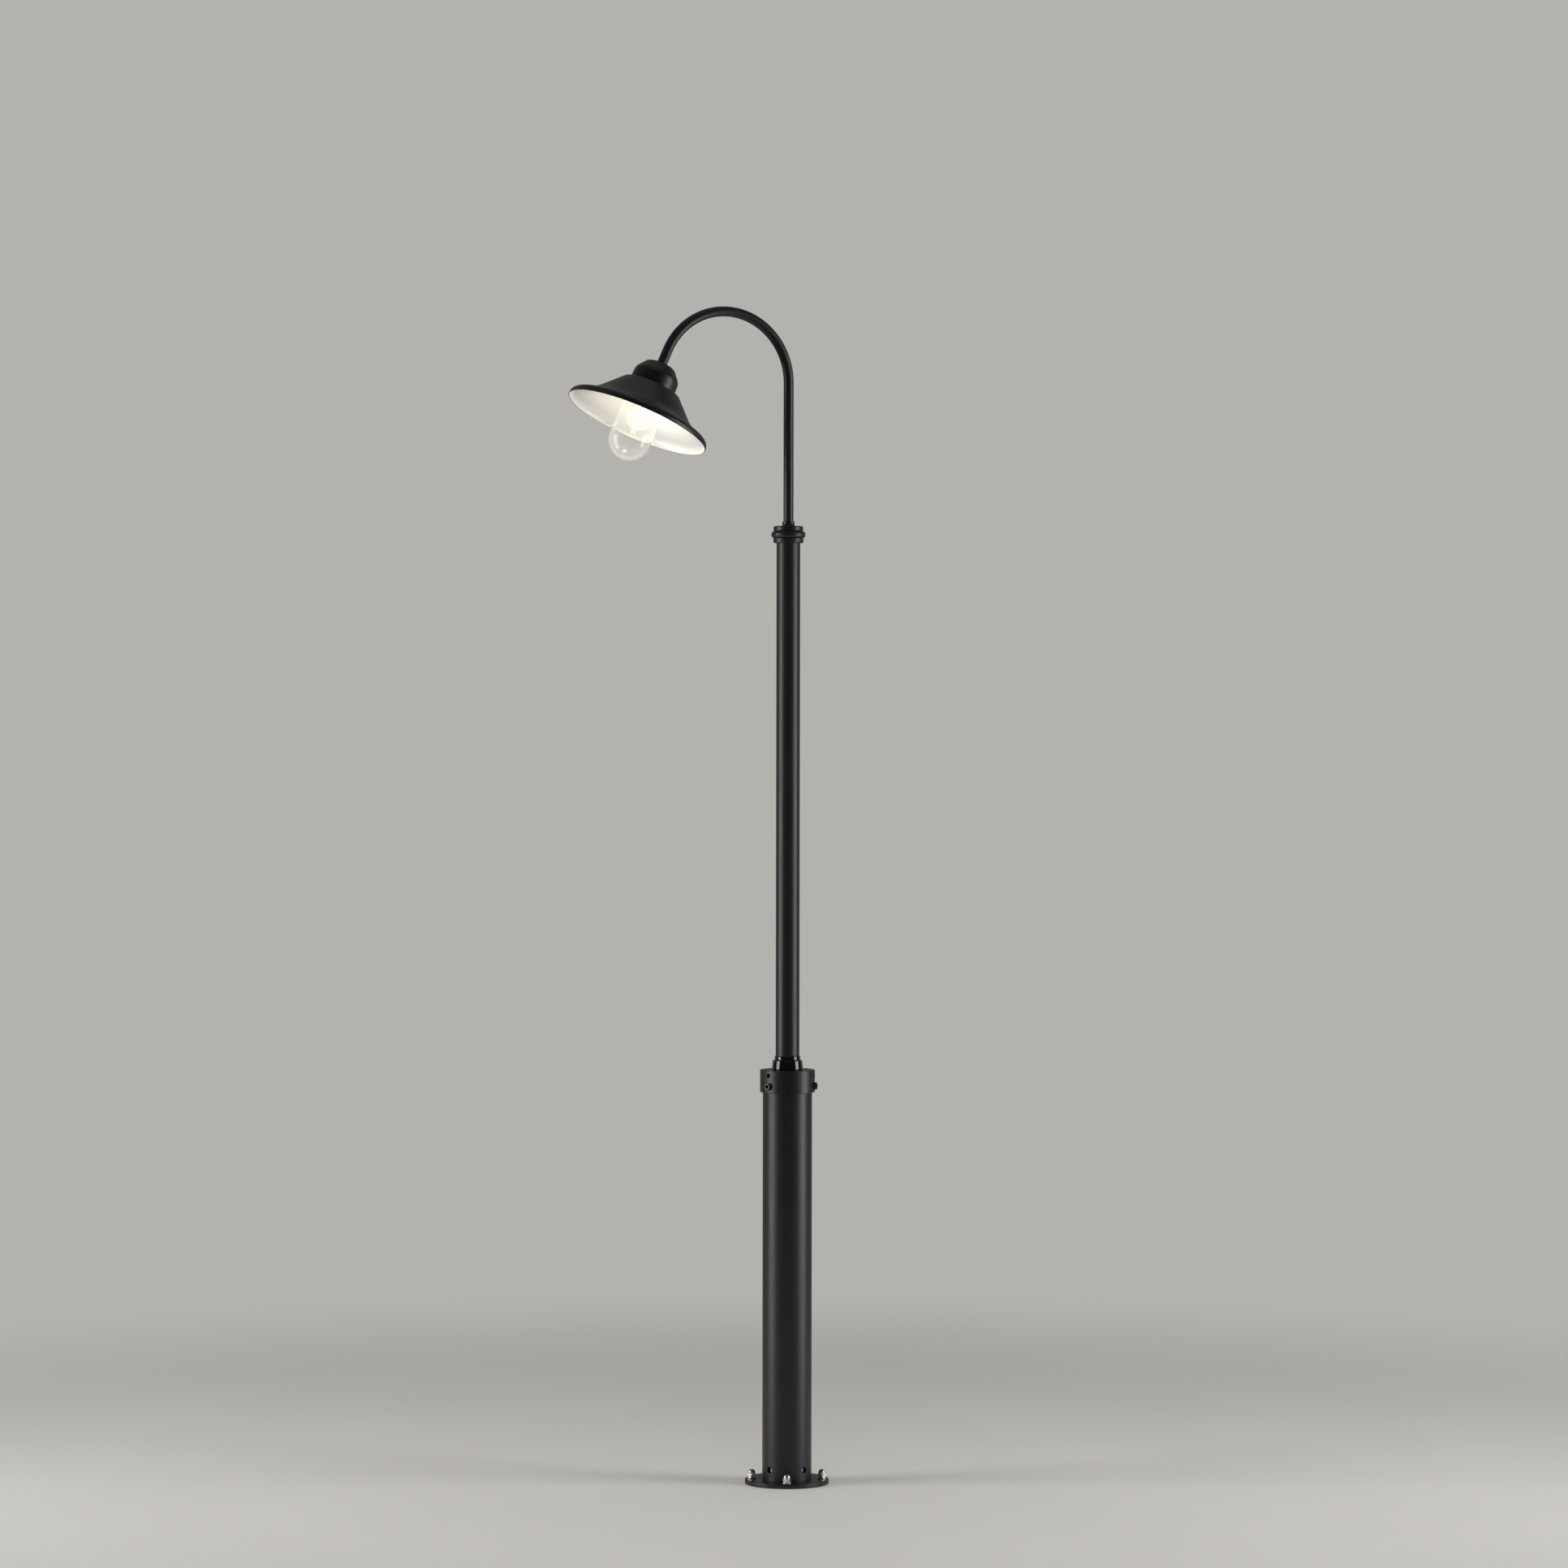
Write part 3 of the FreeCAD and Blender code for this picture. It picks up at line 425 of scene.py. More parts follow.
def turned(name, section, places, steps, slot, body, *nodes):
    """Turns the section at each of the places and makes one piece of them, in its slot's finish."""
    bm = bmesh.new()
    for place in places:
        spin(bm, section, place, steps)
    finished(bm, name, [finishes()[slot]], body, nodes)


# ---------------------------------------------------------------- materials


def add(tree, kind, inputs=None, **settings):
    """Adds a node with its settings, and its inputs as values or as links from sockets."""
    node = tree.nodes.new(kind)
    for name, value in settings.items():
        setattr(node, name, value)
    for name, value in (inputs or {}).items():
        if isinstance(value, bpy.types.NodeSocket):
            tree.links.new(value, node.inputs[name])
        else:
            node.inputs[name].default_value = value
    return node


def started(name, **inputs):
    """A material with one Principled shader on its output, its tree and its shader."""
    material = bpy.data.materials.new(name)
    material.use_nodes = True
    tree = material.node_tree
    tree.nodes.clear()
    values = {key.replace("_", " "): value for key, value in inputs.items()}
    shader = add(tree, "ShaderNodeBsdfPrincipled", values)
    add(tree, "ShaderNodeOutputMaterial", {"Surface": shader.outputs["BSDF"]})
    return material, tree, shader


def per_metre(mm):
    """Noise scale whose grains are this many millimetres across."""
    return 1 / (mm * MM)


def clouded(tree, shader, base, other, patch_mm, roughness, spread):
    """Two tones of a colour in soft patches, with a little more and less gloss in the same patches."""
    spot = add(tree, "ShaderNodeTexCoord").outputs["Object"]
    patch = add(tree, "ShaderNodeTexNoise", {"Vector": spot, "Scale": per_metre(patch_mm), "Detail": 3.0})
    tone = add(tree, "ShaderNodeMix", {0: patch.outputs["Fac"], 6: base, 7: other}, data_type="RGBA",
               blend_type="MIX")
    tree.links.new(tone.outputs[2], shader.inputs["Base Color"])
    gloss = add(tree, "ShaderNodeMapRange", {"Value": patch.outputs["Fac"], "From Min": 0.3, "From Max": 0.7,
                                             "To Min": roughness - spread, "To Max": roughness + spread})
    tree.links.new(gloss.outputs["Result"], shader.inputs["Roughness"])
    return spot


def grained(tree, shader, spot, grain_mm, rise_mm, strength):
    """Fine relief over the whole surface."""
    grain = add(tree, "ShaderNodeTexNoise",
                {"Vector": spot, "Scale": per_metre(grain_mm), "Detail": 2.0, "Roughness": 0.6})
    bump = add(tree, "ShaderNodeBump",
               {"Height": grain.outputs["Fac"], "Distance": rise_mm * MM, "Strength": strength})
    tree.links.new(bump.outputs["Normal"], shader.inputs["Normal"])


def cleared(tree, shader, amount, tint=(1.0, 1.0, 1.0, 1.0)):
    """Lets the shader's surface give way to clear air, in this tint, by the amount at a socket."""
    clear = add(tree, "ShaderNodeBsdfTransparent", {"Color": tint})
    both = add(tree, "ShaderNodeMixShader", {0: amount, 1: shader.outputs["BSDF"], 2: clear.outputs["BSDF"]})
    output = next(n for n in tree.nodes if n.type == "OUTPUT_MATERIAL")
    tree.links.new(both.outputs["Shader"], output.inputs["Surface"])


def shaded(base, factor):
    """The colour, darker or paler by a factor."""
    return (base[0] * factor, base[1] * factor, base[2] * factor, 1.0)


def powder_coat(name, base, grain_mm, rise_mm, roughness):
    """Polyester powder coat, sprayed dry and baked. The eye sees a matt black with broad, soft-edged
    highlights and a fine sandy grain. The real grain is near 0.4 mm; it is drawn coarser so that it shows."""
    material, tree, shader = started(name, IOR=1.5)
    spot = clouded(tree, shader, shaded(base, 0.86), shaded(base, 1.16), 70, roughness, 0.03)
    grained(tree, shader, spot, grain_mm, rise_mm, 0.5)
    return material


def stove_enamel(name, base):
    """White stove enamel, flowed on and fired. The eye sees a clean warm white with wet reflections
    that waver slightly, because the coat is never quite level."""
    material, tree, shader = started(name, IOR=1.55, Coat_Weight=0.6, Coat_Roughness=0.05)
    spot = clouded(tree, shader, shaded(base, 0.96), base, 35, 0.22, 0.03)
    grained(tree, shader, spot, 9, 0.05, 0.35)
    return material


def gloss_polymer(name, base):
    """Moulded glass-filled nylon, polished by its mould. The eye sees deep black with crisp streaks."""
    material, tree, shader = started(name, IOR=1.53, Coat_Weight=0.4, Coat_Roughness=0.04)
    spot = clouded(tree, shader, base, shaded(base, 1.5), 18, 0.13, 0.02)
    grained(tree, shader, spot, 2.5, 0.01, 0.2)
    return material


def matt_polymer(name, base):
    """Moulded nylon with a spark-eroded skin. The eye sees a dry, even black with no sharp reflection."""
    material, tree, shader = started(name, IOR=1.53)
    spot = clouded(tree, shader, base, shaded(base, 1.3), 12, 0.55, 0.04)
    grained(tree, shader, spot, 0.8, 0.03, 0.4)
    return material


def plated_metal(name, base, roughness, patch_mm, tarnish):
    """Plated or polished metal. The eye sees mirror-like light and dark bands, clouded by handling."""
    material, tree, shader = started(name, Metallic=1.0)
    spot = clouded(tree, shader, shaded(base, tarnish), base, patch_mm, roughness, roughness * 0.25)
    grained(tree, shader, spot, 1.2, 0.01, 0.25)
    return material


def glazed_ceramic(name, base):
    """Glazed steatite. The eye sees a dense, slightly creamy white with a soft shine."""
    material, tree, shader = started(name, IOR=1.6, Coat_Weight=0.3, Coat_Roughness=0.1)
    clouded(tree, shader, shaded(base, 0.94), base, 10, 0.3, 0.04)
    return material


def silicone_rubber(name, base):
    """Moulded silicone. The eye sees a soft, greyish translucent rubber with a satin skin."""
    material, tree, shader = started(name, IOR=1.41, Subsurface_Weight=0.2, Subsurface_Scale=0.002)
    clouded(tree, shader, shaded(base, 0.9), base, 8, 0.42, 0.05)
    return material


def clear_glass(name, tint, painted_glow_colour, painted_glow_facing, painted_glow_rim):
    """Blown clear glass round a lit filament. The eye sees the background through it and long bright streaks
    from the lights. A faint warm painted glow, strongest at the rims, is emission on the glass that stands
    in for the bulb's light scattered in it. Light from the bulb passes straight out."""
    material, tree, shader = started(name, Base_Color=tint, Roughness=0.0, IOR=1.47, Transmission_Weight=1.0,
                                     Emission_Color=painted_glow_colour)
    # Painted glow: emission on the glass, stronger towards the rims, stands in for scattered bulb light.
    lean = add(tree, "ShaderNodeLayerWeight", {"Blend": 0.35})
    veil = add(tree, "ShaderNodeMapRange", {"Value": lean.outputs["Facing"], "To Min": painted_glow_facing,
                                            "To Max": painted_glow_rim})
    tree.links.new(veil.outputs["Result"], shader.inputs["Emission Strength"])
    cleared(tree, shader, add(tree, "ShaderNodeLightPath").outputs["Is Shadow Ray"], tint)
    return material


def glowing(name, base, strength):
    """Phosphor-coated stick, lit. The eye sees an even, warm, over-bright line."""
    return started(name, Base_Color=base, Roughness=0.6, Emission_Color=base, Emission_Strength=strength)[0]


def finishes():
    """Every finish by the record's slot name, made once."""
    if FINISHES:
        return FINISHES
    c = bpy.context.scene.post_finishes
    FINISHES.update(
        powder_coated_steel=powder_coat("powder coat on steel tube", tuple(c.coat), 1.1, 0.10, 0.41),
        powder_coated_casting=powder_coat("powder coat on casting", tuple(c.casting), 1.4, 0.12, 0.40),
        shade_sheet=stove_enamel("white stove enamel", tuple(c.enamel)),
        gloss_black_polymer=gloss_polymer("polished black nylon", tuple(c.polymer)),
        matt_black_polymer=matt_polymer("matt black nylon", tuple(c.polymer)),
        zinc_plated_steel=plated_metal("bright zinc plated steel", tuple(c.zinc), 0.3, 4, 0.88),
        black_oxide_steel=plated_metal("oiled black oxide steel", tuple(c.oxide), 0.34, 5, 0.7),
        nickel_plated_brass=plated_metal("nickel plated brass", tuple(c.nickel), 0.2, 6, 0.85),
        brass=plated_metal("drawn brass", tuple(c.brass), 0.25, 6, 0.8),
        # The glow colour and the two numbers after it set the painted glow on the globe's and the bulb's
        # glass.
        clear_glass=clear_glass("blown clear glass", linear("FBFDFC"), tuple(c.glow), 0.02, 0.16),
        bulb_glass=clear_glass("drawn bulb glass", linear("FBFAF6"), tuple(c.glow), 0.1, 0.16),
        silicone=silicone_rubber("silicone rubber", linear("B9B7B0")),
        led_filament=glowing("lit filament", tuple(c.glow), 20.0),
        white_ceramic=glazed_ceramic("glazed ceramic", linear("EDE8DC")),
    )
    return FINISHES


# ---------------------------------------------------------------- operators: one for each piece or group


class POST_OT_foot(bpy.types.Operator):
    """Dome nuts and washers on the base plate"""

    bl_idname = "lamp_post.foot"
    bl_label = "Foot fixings"

    def execute(self, context):
        s = context.scene.post_fixings
        form = hexagon(s.nut_flats)
        chamfer = 0.9 * MM
        corner = s.nut_flats / 2 / math.cos(math.pi / 6)
        low, top = (v.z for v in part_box("anchor_nuts"))
        dome_low = top - low - s.nut_dome
        roof_low = dome_low - 1.5 * MM
        section = [(s.nut_bore, 0), (corner - chamfer, 0), (corner - chamfer / 3, chamfer * 0.3, form),
                   (corner, chamfer * 0.6, form), (corner, s.nut_hex - chamfer * 0.6, form),
                   (corner - chamfer / 3, s.nut_hex - chamfer * 0.3, form), (corner - chamfer, s.nut_hex),
                   (s.nut_dome, s.nut_hex)]
        section += arc((0, dome_low), s.nut_dome, 0, 90, 14)[:-1]
        section += [(0, top - low), (0, dome_low), (s.nut_bore, roof_low)]
        places = []
        for i, centre in enumerate(solid_centres("anchor_nuts")):
            tightened = Matrix.Rotation(math.radians(17 + 23 * i), 4, "Z")
            places.append(Matrix.Translation((centre.x, centre.y, low)) @ tightened)
        turned("dome_nuts", section, places, HEX_STEPS, "zinc_plated_steel", "base", "anchor_nuts")
        low, high = (v.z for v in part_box("anchor_washers"))
        edge = 0.25 * MM
        ring = softened([(s.washer_bore, low, edge), (s.washer_radius, low, edge),
                         (s.washer_radius, high, edge), (s.washer_bore, high, edge)], 3)
        places = [Matrix.Translation((c.x, c.y, 0)) for c in solid_centres("anchor_washers")]
        turned("foot_washers", ring, places, TUBE_STEPS, "zinc_plated_steel", "base", "anchor_washers")
        return {"FINISHED"}


class POST_OT_collar_screws(bpy.types.Operator):
    """Knurled cap screws that clamp the collar to the lower pole"""

    bl_idname = "lamp_post.collar_screws"
    bl_label = "Collar cap screws"

    def execute(self, context):
        s = context.scene.post_fixings
        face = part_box("pole_collar")[1].x
        top = s.head_stand
        seat = top - s.head_height
        deep = top - s.head_height * 0.55
        bevel = 0.6 * MM
        shank = s.nut_bore - 0.05 * MM
        key = hexagon(s.socket_flats)
        key_corner = s.socket_flats / 2 / math.cos(math.pi / 6)

        def knurl(turn, radius, depth):
            return radius - s.knurl_depth * abs(math.sin(turn * s.knurl_count / 2)) ** 0.7

        shank_end = 41 * MM - face  # 41 mm from the post's axis
        head, mouth = s.head_radius, 0.25 * MM
        section = [(0, shank_end), (shank - 0.5 * MM, shank_end), (shank, shank_end + 0.5 * MM),
                   (shank, seat), (head - bevel, seat), (head, seat + bevel, knurl),
                   (head, top - bevel * 1.4, knurl), (head - bevel * 0.6, top - bevel * 0.4),
                   (head - bevel * 1.3, top), (key_corner + mouth, top), (key_corner, top - mouth, key),
                   (key_corner, deep, key), (key_corner * 0.5, deep - 0.6 * MM), (0, deep - 1.2 * MM)]
        places = spokes("collar_clamp_screws", face)
        turned("collar_cap_screws", section, places, KNURL_STEPS, "black_oxide_steel", "base",
               "collar_clamp_screws")
        return {"FINISHED"}


class POST_OT_set_screws(bpy.types.Operator):
    """Sunk set screws: four that lock the pole on its ring, three that run in the bush's groove"""

    bl_idname = "lamp_post.set_screws"
    bl_label = "Set screws"

    def execute(self, context):
        s = context.scene.post_fixings
        self.row("lock_set_screws", "base_lock_screws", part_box("base_ring")[1].x - s.lock_sunk,
                 (s.lock_radius, s.lock_length, s.lock_flats), "zinc_plated_steel")
        self.row("groove_set_screws", "collar_grub_screws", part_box("pole_collar")[1].x - s.grub_sunk,
                 (s.grub_radius, s.grub_length, s.grub_flats), "black_oxide_steel")
        return {"FINISHED"}

    def row(self, name, node, face, sizes, slot):
        """Screws along spokes of the post, with their socket faces at this distance from its axis."""
        radius, long, flats = sizes
        key = hexagon(flats)
        corner = flats / 2 / math.cos(math.pi / 6)
        edge, mouth = 0.7 * MM, 0.3 * MM
        socket = min(flats * 0.9, long - 2 * MM)
        section = [(0, -long), (radius - edge, -long), (radius, edge - long), (radius, -edge),
                   (radius - edge, 0), (corner + mouth, 0), (corner, -mouth, key), (corner, -socket, key),
                   (corner * 0.5, -socket - 0.5 * MM), (0, -socket - 1 * MM)]
        turned(name, section, spokes(node, face), HEX_STEPS, slot, "base", node)


class POST_OT_bush(bpy.types.Operator):
    """Moulded bush in the collar and the gland nut that grips the mast above it"""

    bl_idname = "lamp_post.bush"
    bl_label = "Bush and gland nut"

    def execute(self, context):
        s = context.scene.post_gland
        foot, nose = (v.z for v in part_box("swivel_bush"))
        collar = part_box("pole_collar")[1]
        hub = collar.x - s.collar_wall
        rest = collar.z + 0.3 * MM
        ledge = rest - 1 * MM
        rim = s.skirt - 0.9 * MM
        groove = solid_centres("collar_grub_screws")[0].z
        groove_low, groove_high = groove - s.groove, groove + s.groove
        bush = softened([(s.bore, foot, 0), (hub, foot, 0.4 * MM), (hub, groove_low, 0),
                         (s.groove_radius, groove_low, 0), (s.groove_radius, groove_high, 0),
                         (hub, groove_high, 0), (hub, ledge, 0), (rim, ledge, 0), (rim, rest, 0),
                         (s.skirt, rest + 0.8 * MM, 0.7 * MM), (s.neck, nose - 1.2 * MM, 0.5 * MM),
                         (s.neck - 1.3 * MM, nose, 0.6 * MM), (s.bore, nose, 0)])
        low, high = (v.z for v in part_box("gland_nut"))
        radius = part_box("gland_nut")[1].x
        nut = softened([(s.bore, low, 0), (radius - 0.4 * MM, low, 0.2 * MM),
                        (radius, low + 1 * MM, 0.5 * MM), (radius, high - 1.4 * MM, 0.8 * MM),
                        (radius - 1.4 * MM, high, 0.8 * MM), (s.bore + 0.4 * MM, high, 0.2 * MM),
                        (s.bore, high - 0.4 * MM, 0)])
        place, polymer = [Matrix.Identity(4)], "gloss_black_polymer"
        turned("collar_bush", bush, place, ROUND_STEPS, polymer, "bush", "swivel_bush")
        turned("mast_gland_nut", nut, place, ROUND_STEPS, polymer, "bush", "gland_nut")
        return {"FINISHED"}


class POST_OT_arm(bpy.types.Operator):
    """Gooseneck arm, one tube from the finial over the bend and into the cap"""

    bl_idname = "lamp_post.arm"
    bl_label = "Gooseneck arm"

    def execute(self, context):
        s = context.scene.post_arm
        low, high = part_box("arm_tube")
        down = lamp_axis()
        turn = math.acos(down.z)
        spring = Vector((0, 0, high.z - s.radius - s.bend))
        reach = Vector((math.copysign(1.0, down.x), 0, 0))
        start = Vector((0, 0, low.z))
        centre = spring + reach * s.bend
        straight_steps, bend_steps, end_steps = 24, 96, 6
        path = [start.lerp(spring, i / straight_steps) for i in range(straight_steps)]
        for i in range(bend_steps + 1):
            a = turn * i / bend_steps
            path.append(centre - reach * (s.bend * math.cos(a)) + Vector((0, 0, s.bend * math.sin(a))))
        bend_end = path[-1]
        in_cap = 24 * MM
        run = (lamp_place().translation - bend_end).length + in_cap
        path += [bend_end + down * (run * i / end_steps) for i in range(1, end_steps + 1)]
        bm = bmesh.new()
        sweep(bm, path, s.radius, TUBE_STEPS, s.radius - s.wall)
        steel = "powder_coated_steel"
        finished(bm, "gooseneck_arm", [finishes()[steel]], "mast", ["arm_tube"])
        return {"FINISHED"}


def sheet_line(s, top, offset):
    """Points of the shade's section along its sheet, this far inside its outer face."""
    bite = s.corner_round * math.tan(s.slope / 2)
    cone = (s.waist - s.corner) / math.cos(s.slope) - bite
    steps = [(s.corner - bite - s.hole, 0, 0), (0, s.corner_round, s.slope), (cone, 0, 0),
             (0, s.flare, s.brim_slope - s.slope), (s.brim, 0, 0), (0, s.lip, math.pi / 2 - s.brim_slope),
             (s.hem, 0, 0)]
    at, heading = Vector((s.hole, top)), 0.0

    def aside(spot, lean):
        return spot + Vector((-math.sin(lean), math.cos(lean))) * offset

    points = [aside(at, heading)]
    for run, radius, turn in steps:
        if run:
            along = Vector((math.cos(heading), math.sin(heading)))
            points += [aside(at + along * (run * k / BEND_STEPS), heading) for k in range(1, BEND_STEPS + 1)]
            at = at + along * run
            continue
        side = math.copysign(1.0, turn)
        centre = at + Vector((-math.sin(heading), math.cos(heading))) * (radius * side)
        for k in range(1, BEND_STEPS + 1):
            lean = heading + turn * k / BEND_STEPS
            spot = centre - Vector((-math.sin(lean), math.cos(lean))) * (radius * side)
            points.append(aside(spot, lean))
        at, heading = spot, heading + turn
    return points


class POST_OT_shade(bpy.types.Operator):
    """Spun shade, black outside and white enamelled inside"""

    bl_idname = "lamp_post.shade"
    bl_label = "Shade"

    def execute(self, context):
        s = context.scene.post_shade
        place = lamp_place()
        low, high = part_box("shade_ring")
        ring_height = 6 * MM
        ring_depth = ((low + high) / 2 - place.translation).dot(lamp_axis())
        top = ring_depth - ring_height / 2 - s.sheet
        outer, inner = sheet_line(s, top, 0), sheet_line(s, top, s.sheet)
        middle, half = (outer[-1] + inner[-1]) / 2, (outer[-1] - inner[-1]) / 2
        bulge = Vector((0, s.sheet * 0.35))
        leans = [math.pi * k / 6 for k in range(1, 6)]
        rim = [middle + half * math.cos(lean) + bulge * math.sin(lean) for lean in leans]
        hem = [p - bulge for p in (outer[-1], *rim, inner[-1])]
        section = [tuple(p) for p in outer[:-1] + hem + inner[-2::-1]]
        bm = bmesh.new()
        spin(bm, section, place, SHADE_STEPS, len(outer) + len(rim) - 1)
        coats = [finishes()["powder_coated_steel"], finishes()["shade_sheet"]]
        finished(bm, "spun_shade", coats, "mast", ["shade"])
        return {"FINISHED"}


class POST_OT_globe(bpy.types.Operator):
    """Blown glass globe with a round end and a fire-polished mouth"""

    bl_idname = "lamp_post.globe"
    bl_label = "Glass globe"

    def execute(self, context):
        s = context.scene.post_globe
        inside = s.radius - s.glass
        lip = (s.radius + inside) / 2
        wall = [(s.centre - s.mouth) * k / 12 for k in range(1, 12)]
        section = arc((lip, s.mouth + s.glass / 2), s.glass / 2, 180, 360, 10)
        section += [(s.radius, s.mouth + run) for run in wall]
        section += arc((0, s.centre), s.radius, 0, 90, 32)[:-1] + [(0, s.centre + s.radius)]
        section += [(0, s.centre + inside)] + arc((0, s.centre), inside, 90, 0, 32)[1:]
        section += [(inside, s.centre - run) for run in wall]
        turned("globe_glass", section, [lamp_place()], GLOBE_STEPS, "clear_glass", "globe", "glass_globe")
        return {"FINISHED"}


class POST_OT_bulb(bpy.types.Operator):
    """Screw-in filament bulb: threaded cap, glass, stem, wires and lit filaments"""

    bl_idname = "lamp_post.bulb"
    bl_label = "Bulb"

    def execute(self, context):
        s = context.scene.post_bulb
        place = lamp_place()
        centre = s.end - s.radius
        neck = s.cap_end + 0.1 * MM
        self.cap(s, place)
        self.glass(s, place, centre, neck)
        self.inside(s, place, centre, neck)
        return {"FINISHED"}

    def cap(self, s, place):
        """Threaded shell, and the contact button on its insulator."""

        def thread(turn, radius, depth):
            wave = math.cos(2 * math.pi * depth / s.thread_pitch - turn)
            return radius - s.thread_depth / 2 * (1 - wave)

        low, high = s.tip + 7 * MM, s.cap_end - 2.5 * MM
        rows = 60
        shell = [(8.5 * MM, s.tip + 3.2 * MM), (s.cap_radius - s.thread_depth, s.tip + 6 * MM)]
        shell += [(s.cap_radius, low + (high - low) * k / rows, thread) for k in range(rows + 1)]
        shell += [(s.cap_radius - 0.3 * MM, high + 1 * MM), (s.cap_radius, s.cap_end - 0.4 * MM),
                  (s.cap_radius - 0.5 * MM, s.cap_end), (0, s.cap_end), (0, s.tip + 3.2 * MM)]
        turned("bulb_screw_cap", shell, [place], HEX_STEPS, "nickel_plated_brass", "bulb", "bulb_cap")
        button = [(0, s.tip), (3.6 * MM, s.tip), (4.8 * MM, s.tip + 0.8 * MM), (4.8 * MM, s.tip + 1.5 * MM),
                  (8.2 * MM, s.tip + 3.1 * MM), (0, s.tip + 3.1 * MM)]
        turned("bulb_contact_button", button, [place], SMALL_STEPS, "brass", "bulb")

    def glass(self, s, place, centre, neck):
        """Ball that runs into a conical neck, with a drawn wall."""
        foot = s.cap_radius - 0.2 * MM

        def side(radius, start):
            """Angle at which a straight neck that starts at this radius touches the ball."""
            reach = Vector((start, neck - centre))
            return math.degrees(math.atan2(reach.x, -reach.y) + math.acos(radius / reach.length))

        outer = side(s.radius, foot)
        inner = side(s.radius - s.glass, foot - s.glass)
        section = [(foot - s.glass, neck), (foot, neck)]
        section += arc((0, centre), s.radius, outer - 90, 90, 40)[:-1] + [(0, s.end), (0, s.end - s.glass)]
        section += arc((0, centre), s.radius - s.glass, 90, inner - 90, 40)[1:]
        bm = bmesh.new()
        spin(bm, section, place, ROUND_STEPS)
        finished(bm, "bulb_envelope", [finishes()["bulb_glass"]], "bulb", ["bulb_glass"])

    def inside(self, s, place, centre, neck):
        """Stem, support wires and the four sticks that shine."""
        tip = centre + 11 * MM
        section = [(0, neck), (8 * MM, neck), (6.6 * MM, neck + 2 * MM), (3.4 * MM, neck + 8 * MM),
                   (2.6 * MM, neck + 12 * MM), (1.4 * MM, neck + 14 * MM), (1.2 * MM, tip - 1.5 * MM),
                   (0.7 * MM, tip - 0.4 * MM), (0, tip)]
        turned("bulb_glass_stem", section, [place], SMALL_STEPS, "clear_glass", "bulb", "bulb_stem")
        sticks, wires = bmesh.new(), bmesh.new()
        top = place @ Vector((0, 0, tip - 1 * MM))
        press = place @ Vector((0, 0, neck + 9 * MM))
        lean = math.radians(10)
        for k in range(4):
            turn = Matrix.Rotation(math.pi / 4 + k * math.pi / 2, 4, "Z")
            foot = Vector((7 * MM, 0, centre - 12 * MM))
            head = foot + Vector((-math.sin(lean), 0, math.cos(lean))) * s.filament
            foot, head = (place @ turn @ p for p in (foot, head))
            along = (head - foot).normalized()
            sweep(sticks, [foot.lerp(head, i / 8) for i in range(9)], s.filament_radius, 16)
            sweep(wires, [press, press.lerp(foot, 0.6) + along * -1.5 * MM, foot], 0.25 * MM, 8)
            sweep(wires, [head, head.lerp(top, 0.5) + along * 1.2 * MM, top], 0.2 * MM, 8)
        finished(sticks, "bulb_lit_sticks", [finishes()["led_filament"]], "bulb", ["bulb_filaments"])
        plate = "nickel_plated_brass"
        finished(wires, "bulb_support_wires", [finishes()[plate]], "bulb", ())


class POST_OT_carried_parts(bpy.types.Operator):
    """Gives the parts carried over from the frame their finished surfaces"""

    bl_idname = "lamp_post.carried_parts"
    bl_label = "Carried-over parts"

    def execute(self, context):
        by_slot = finishes()
        for name, node in frame["nodes"].items():
            if node.hide_render:
                continue
            slot = node.data.materials[0].name.split(".")[0]
            if slot not in by_slot:
                raise RuntimeError(f"{name} has the unknown finish {slot}")
            for holder in node.material_slots:
                holder.link = "OBJECT"
                holder.material = by_slot[slot]
        return {"FINISHED"}


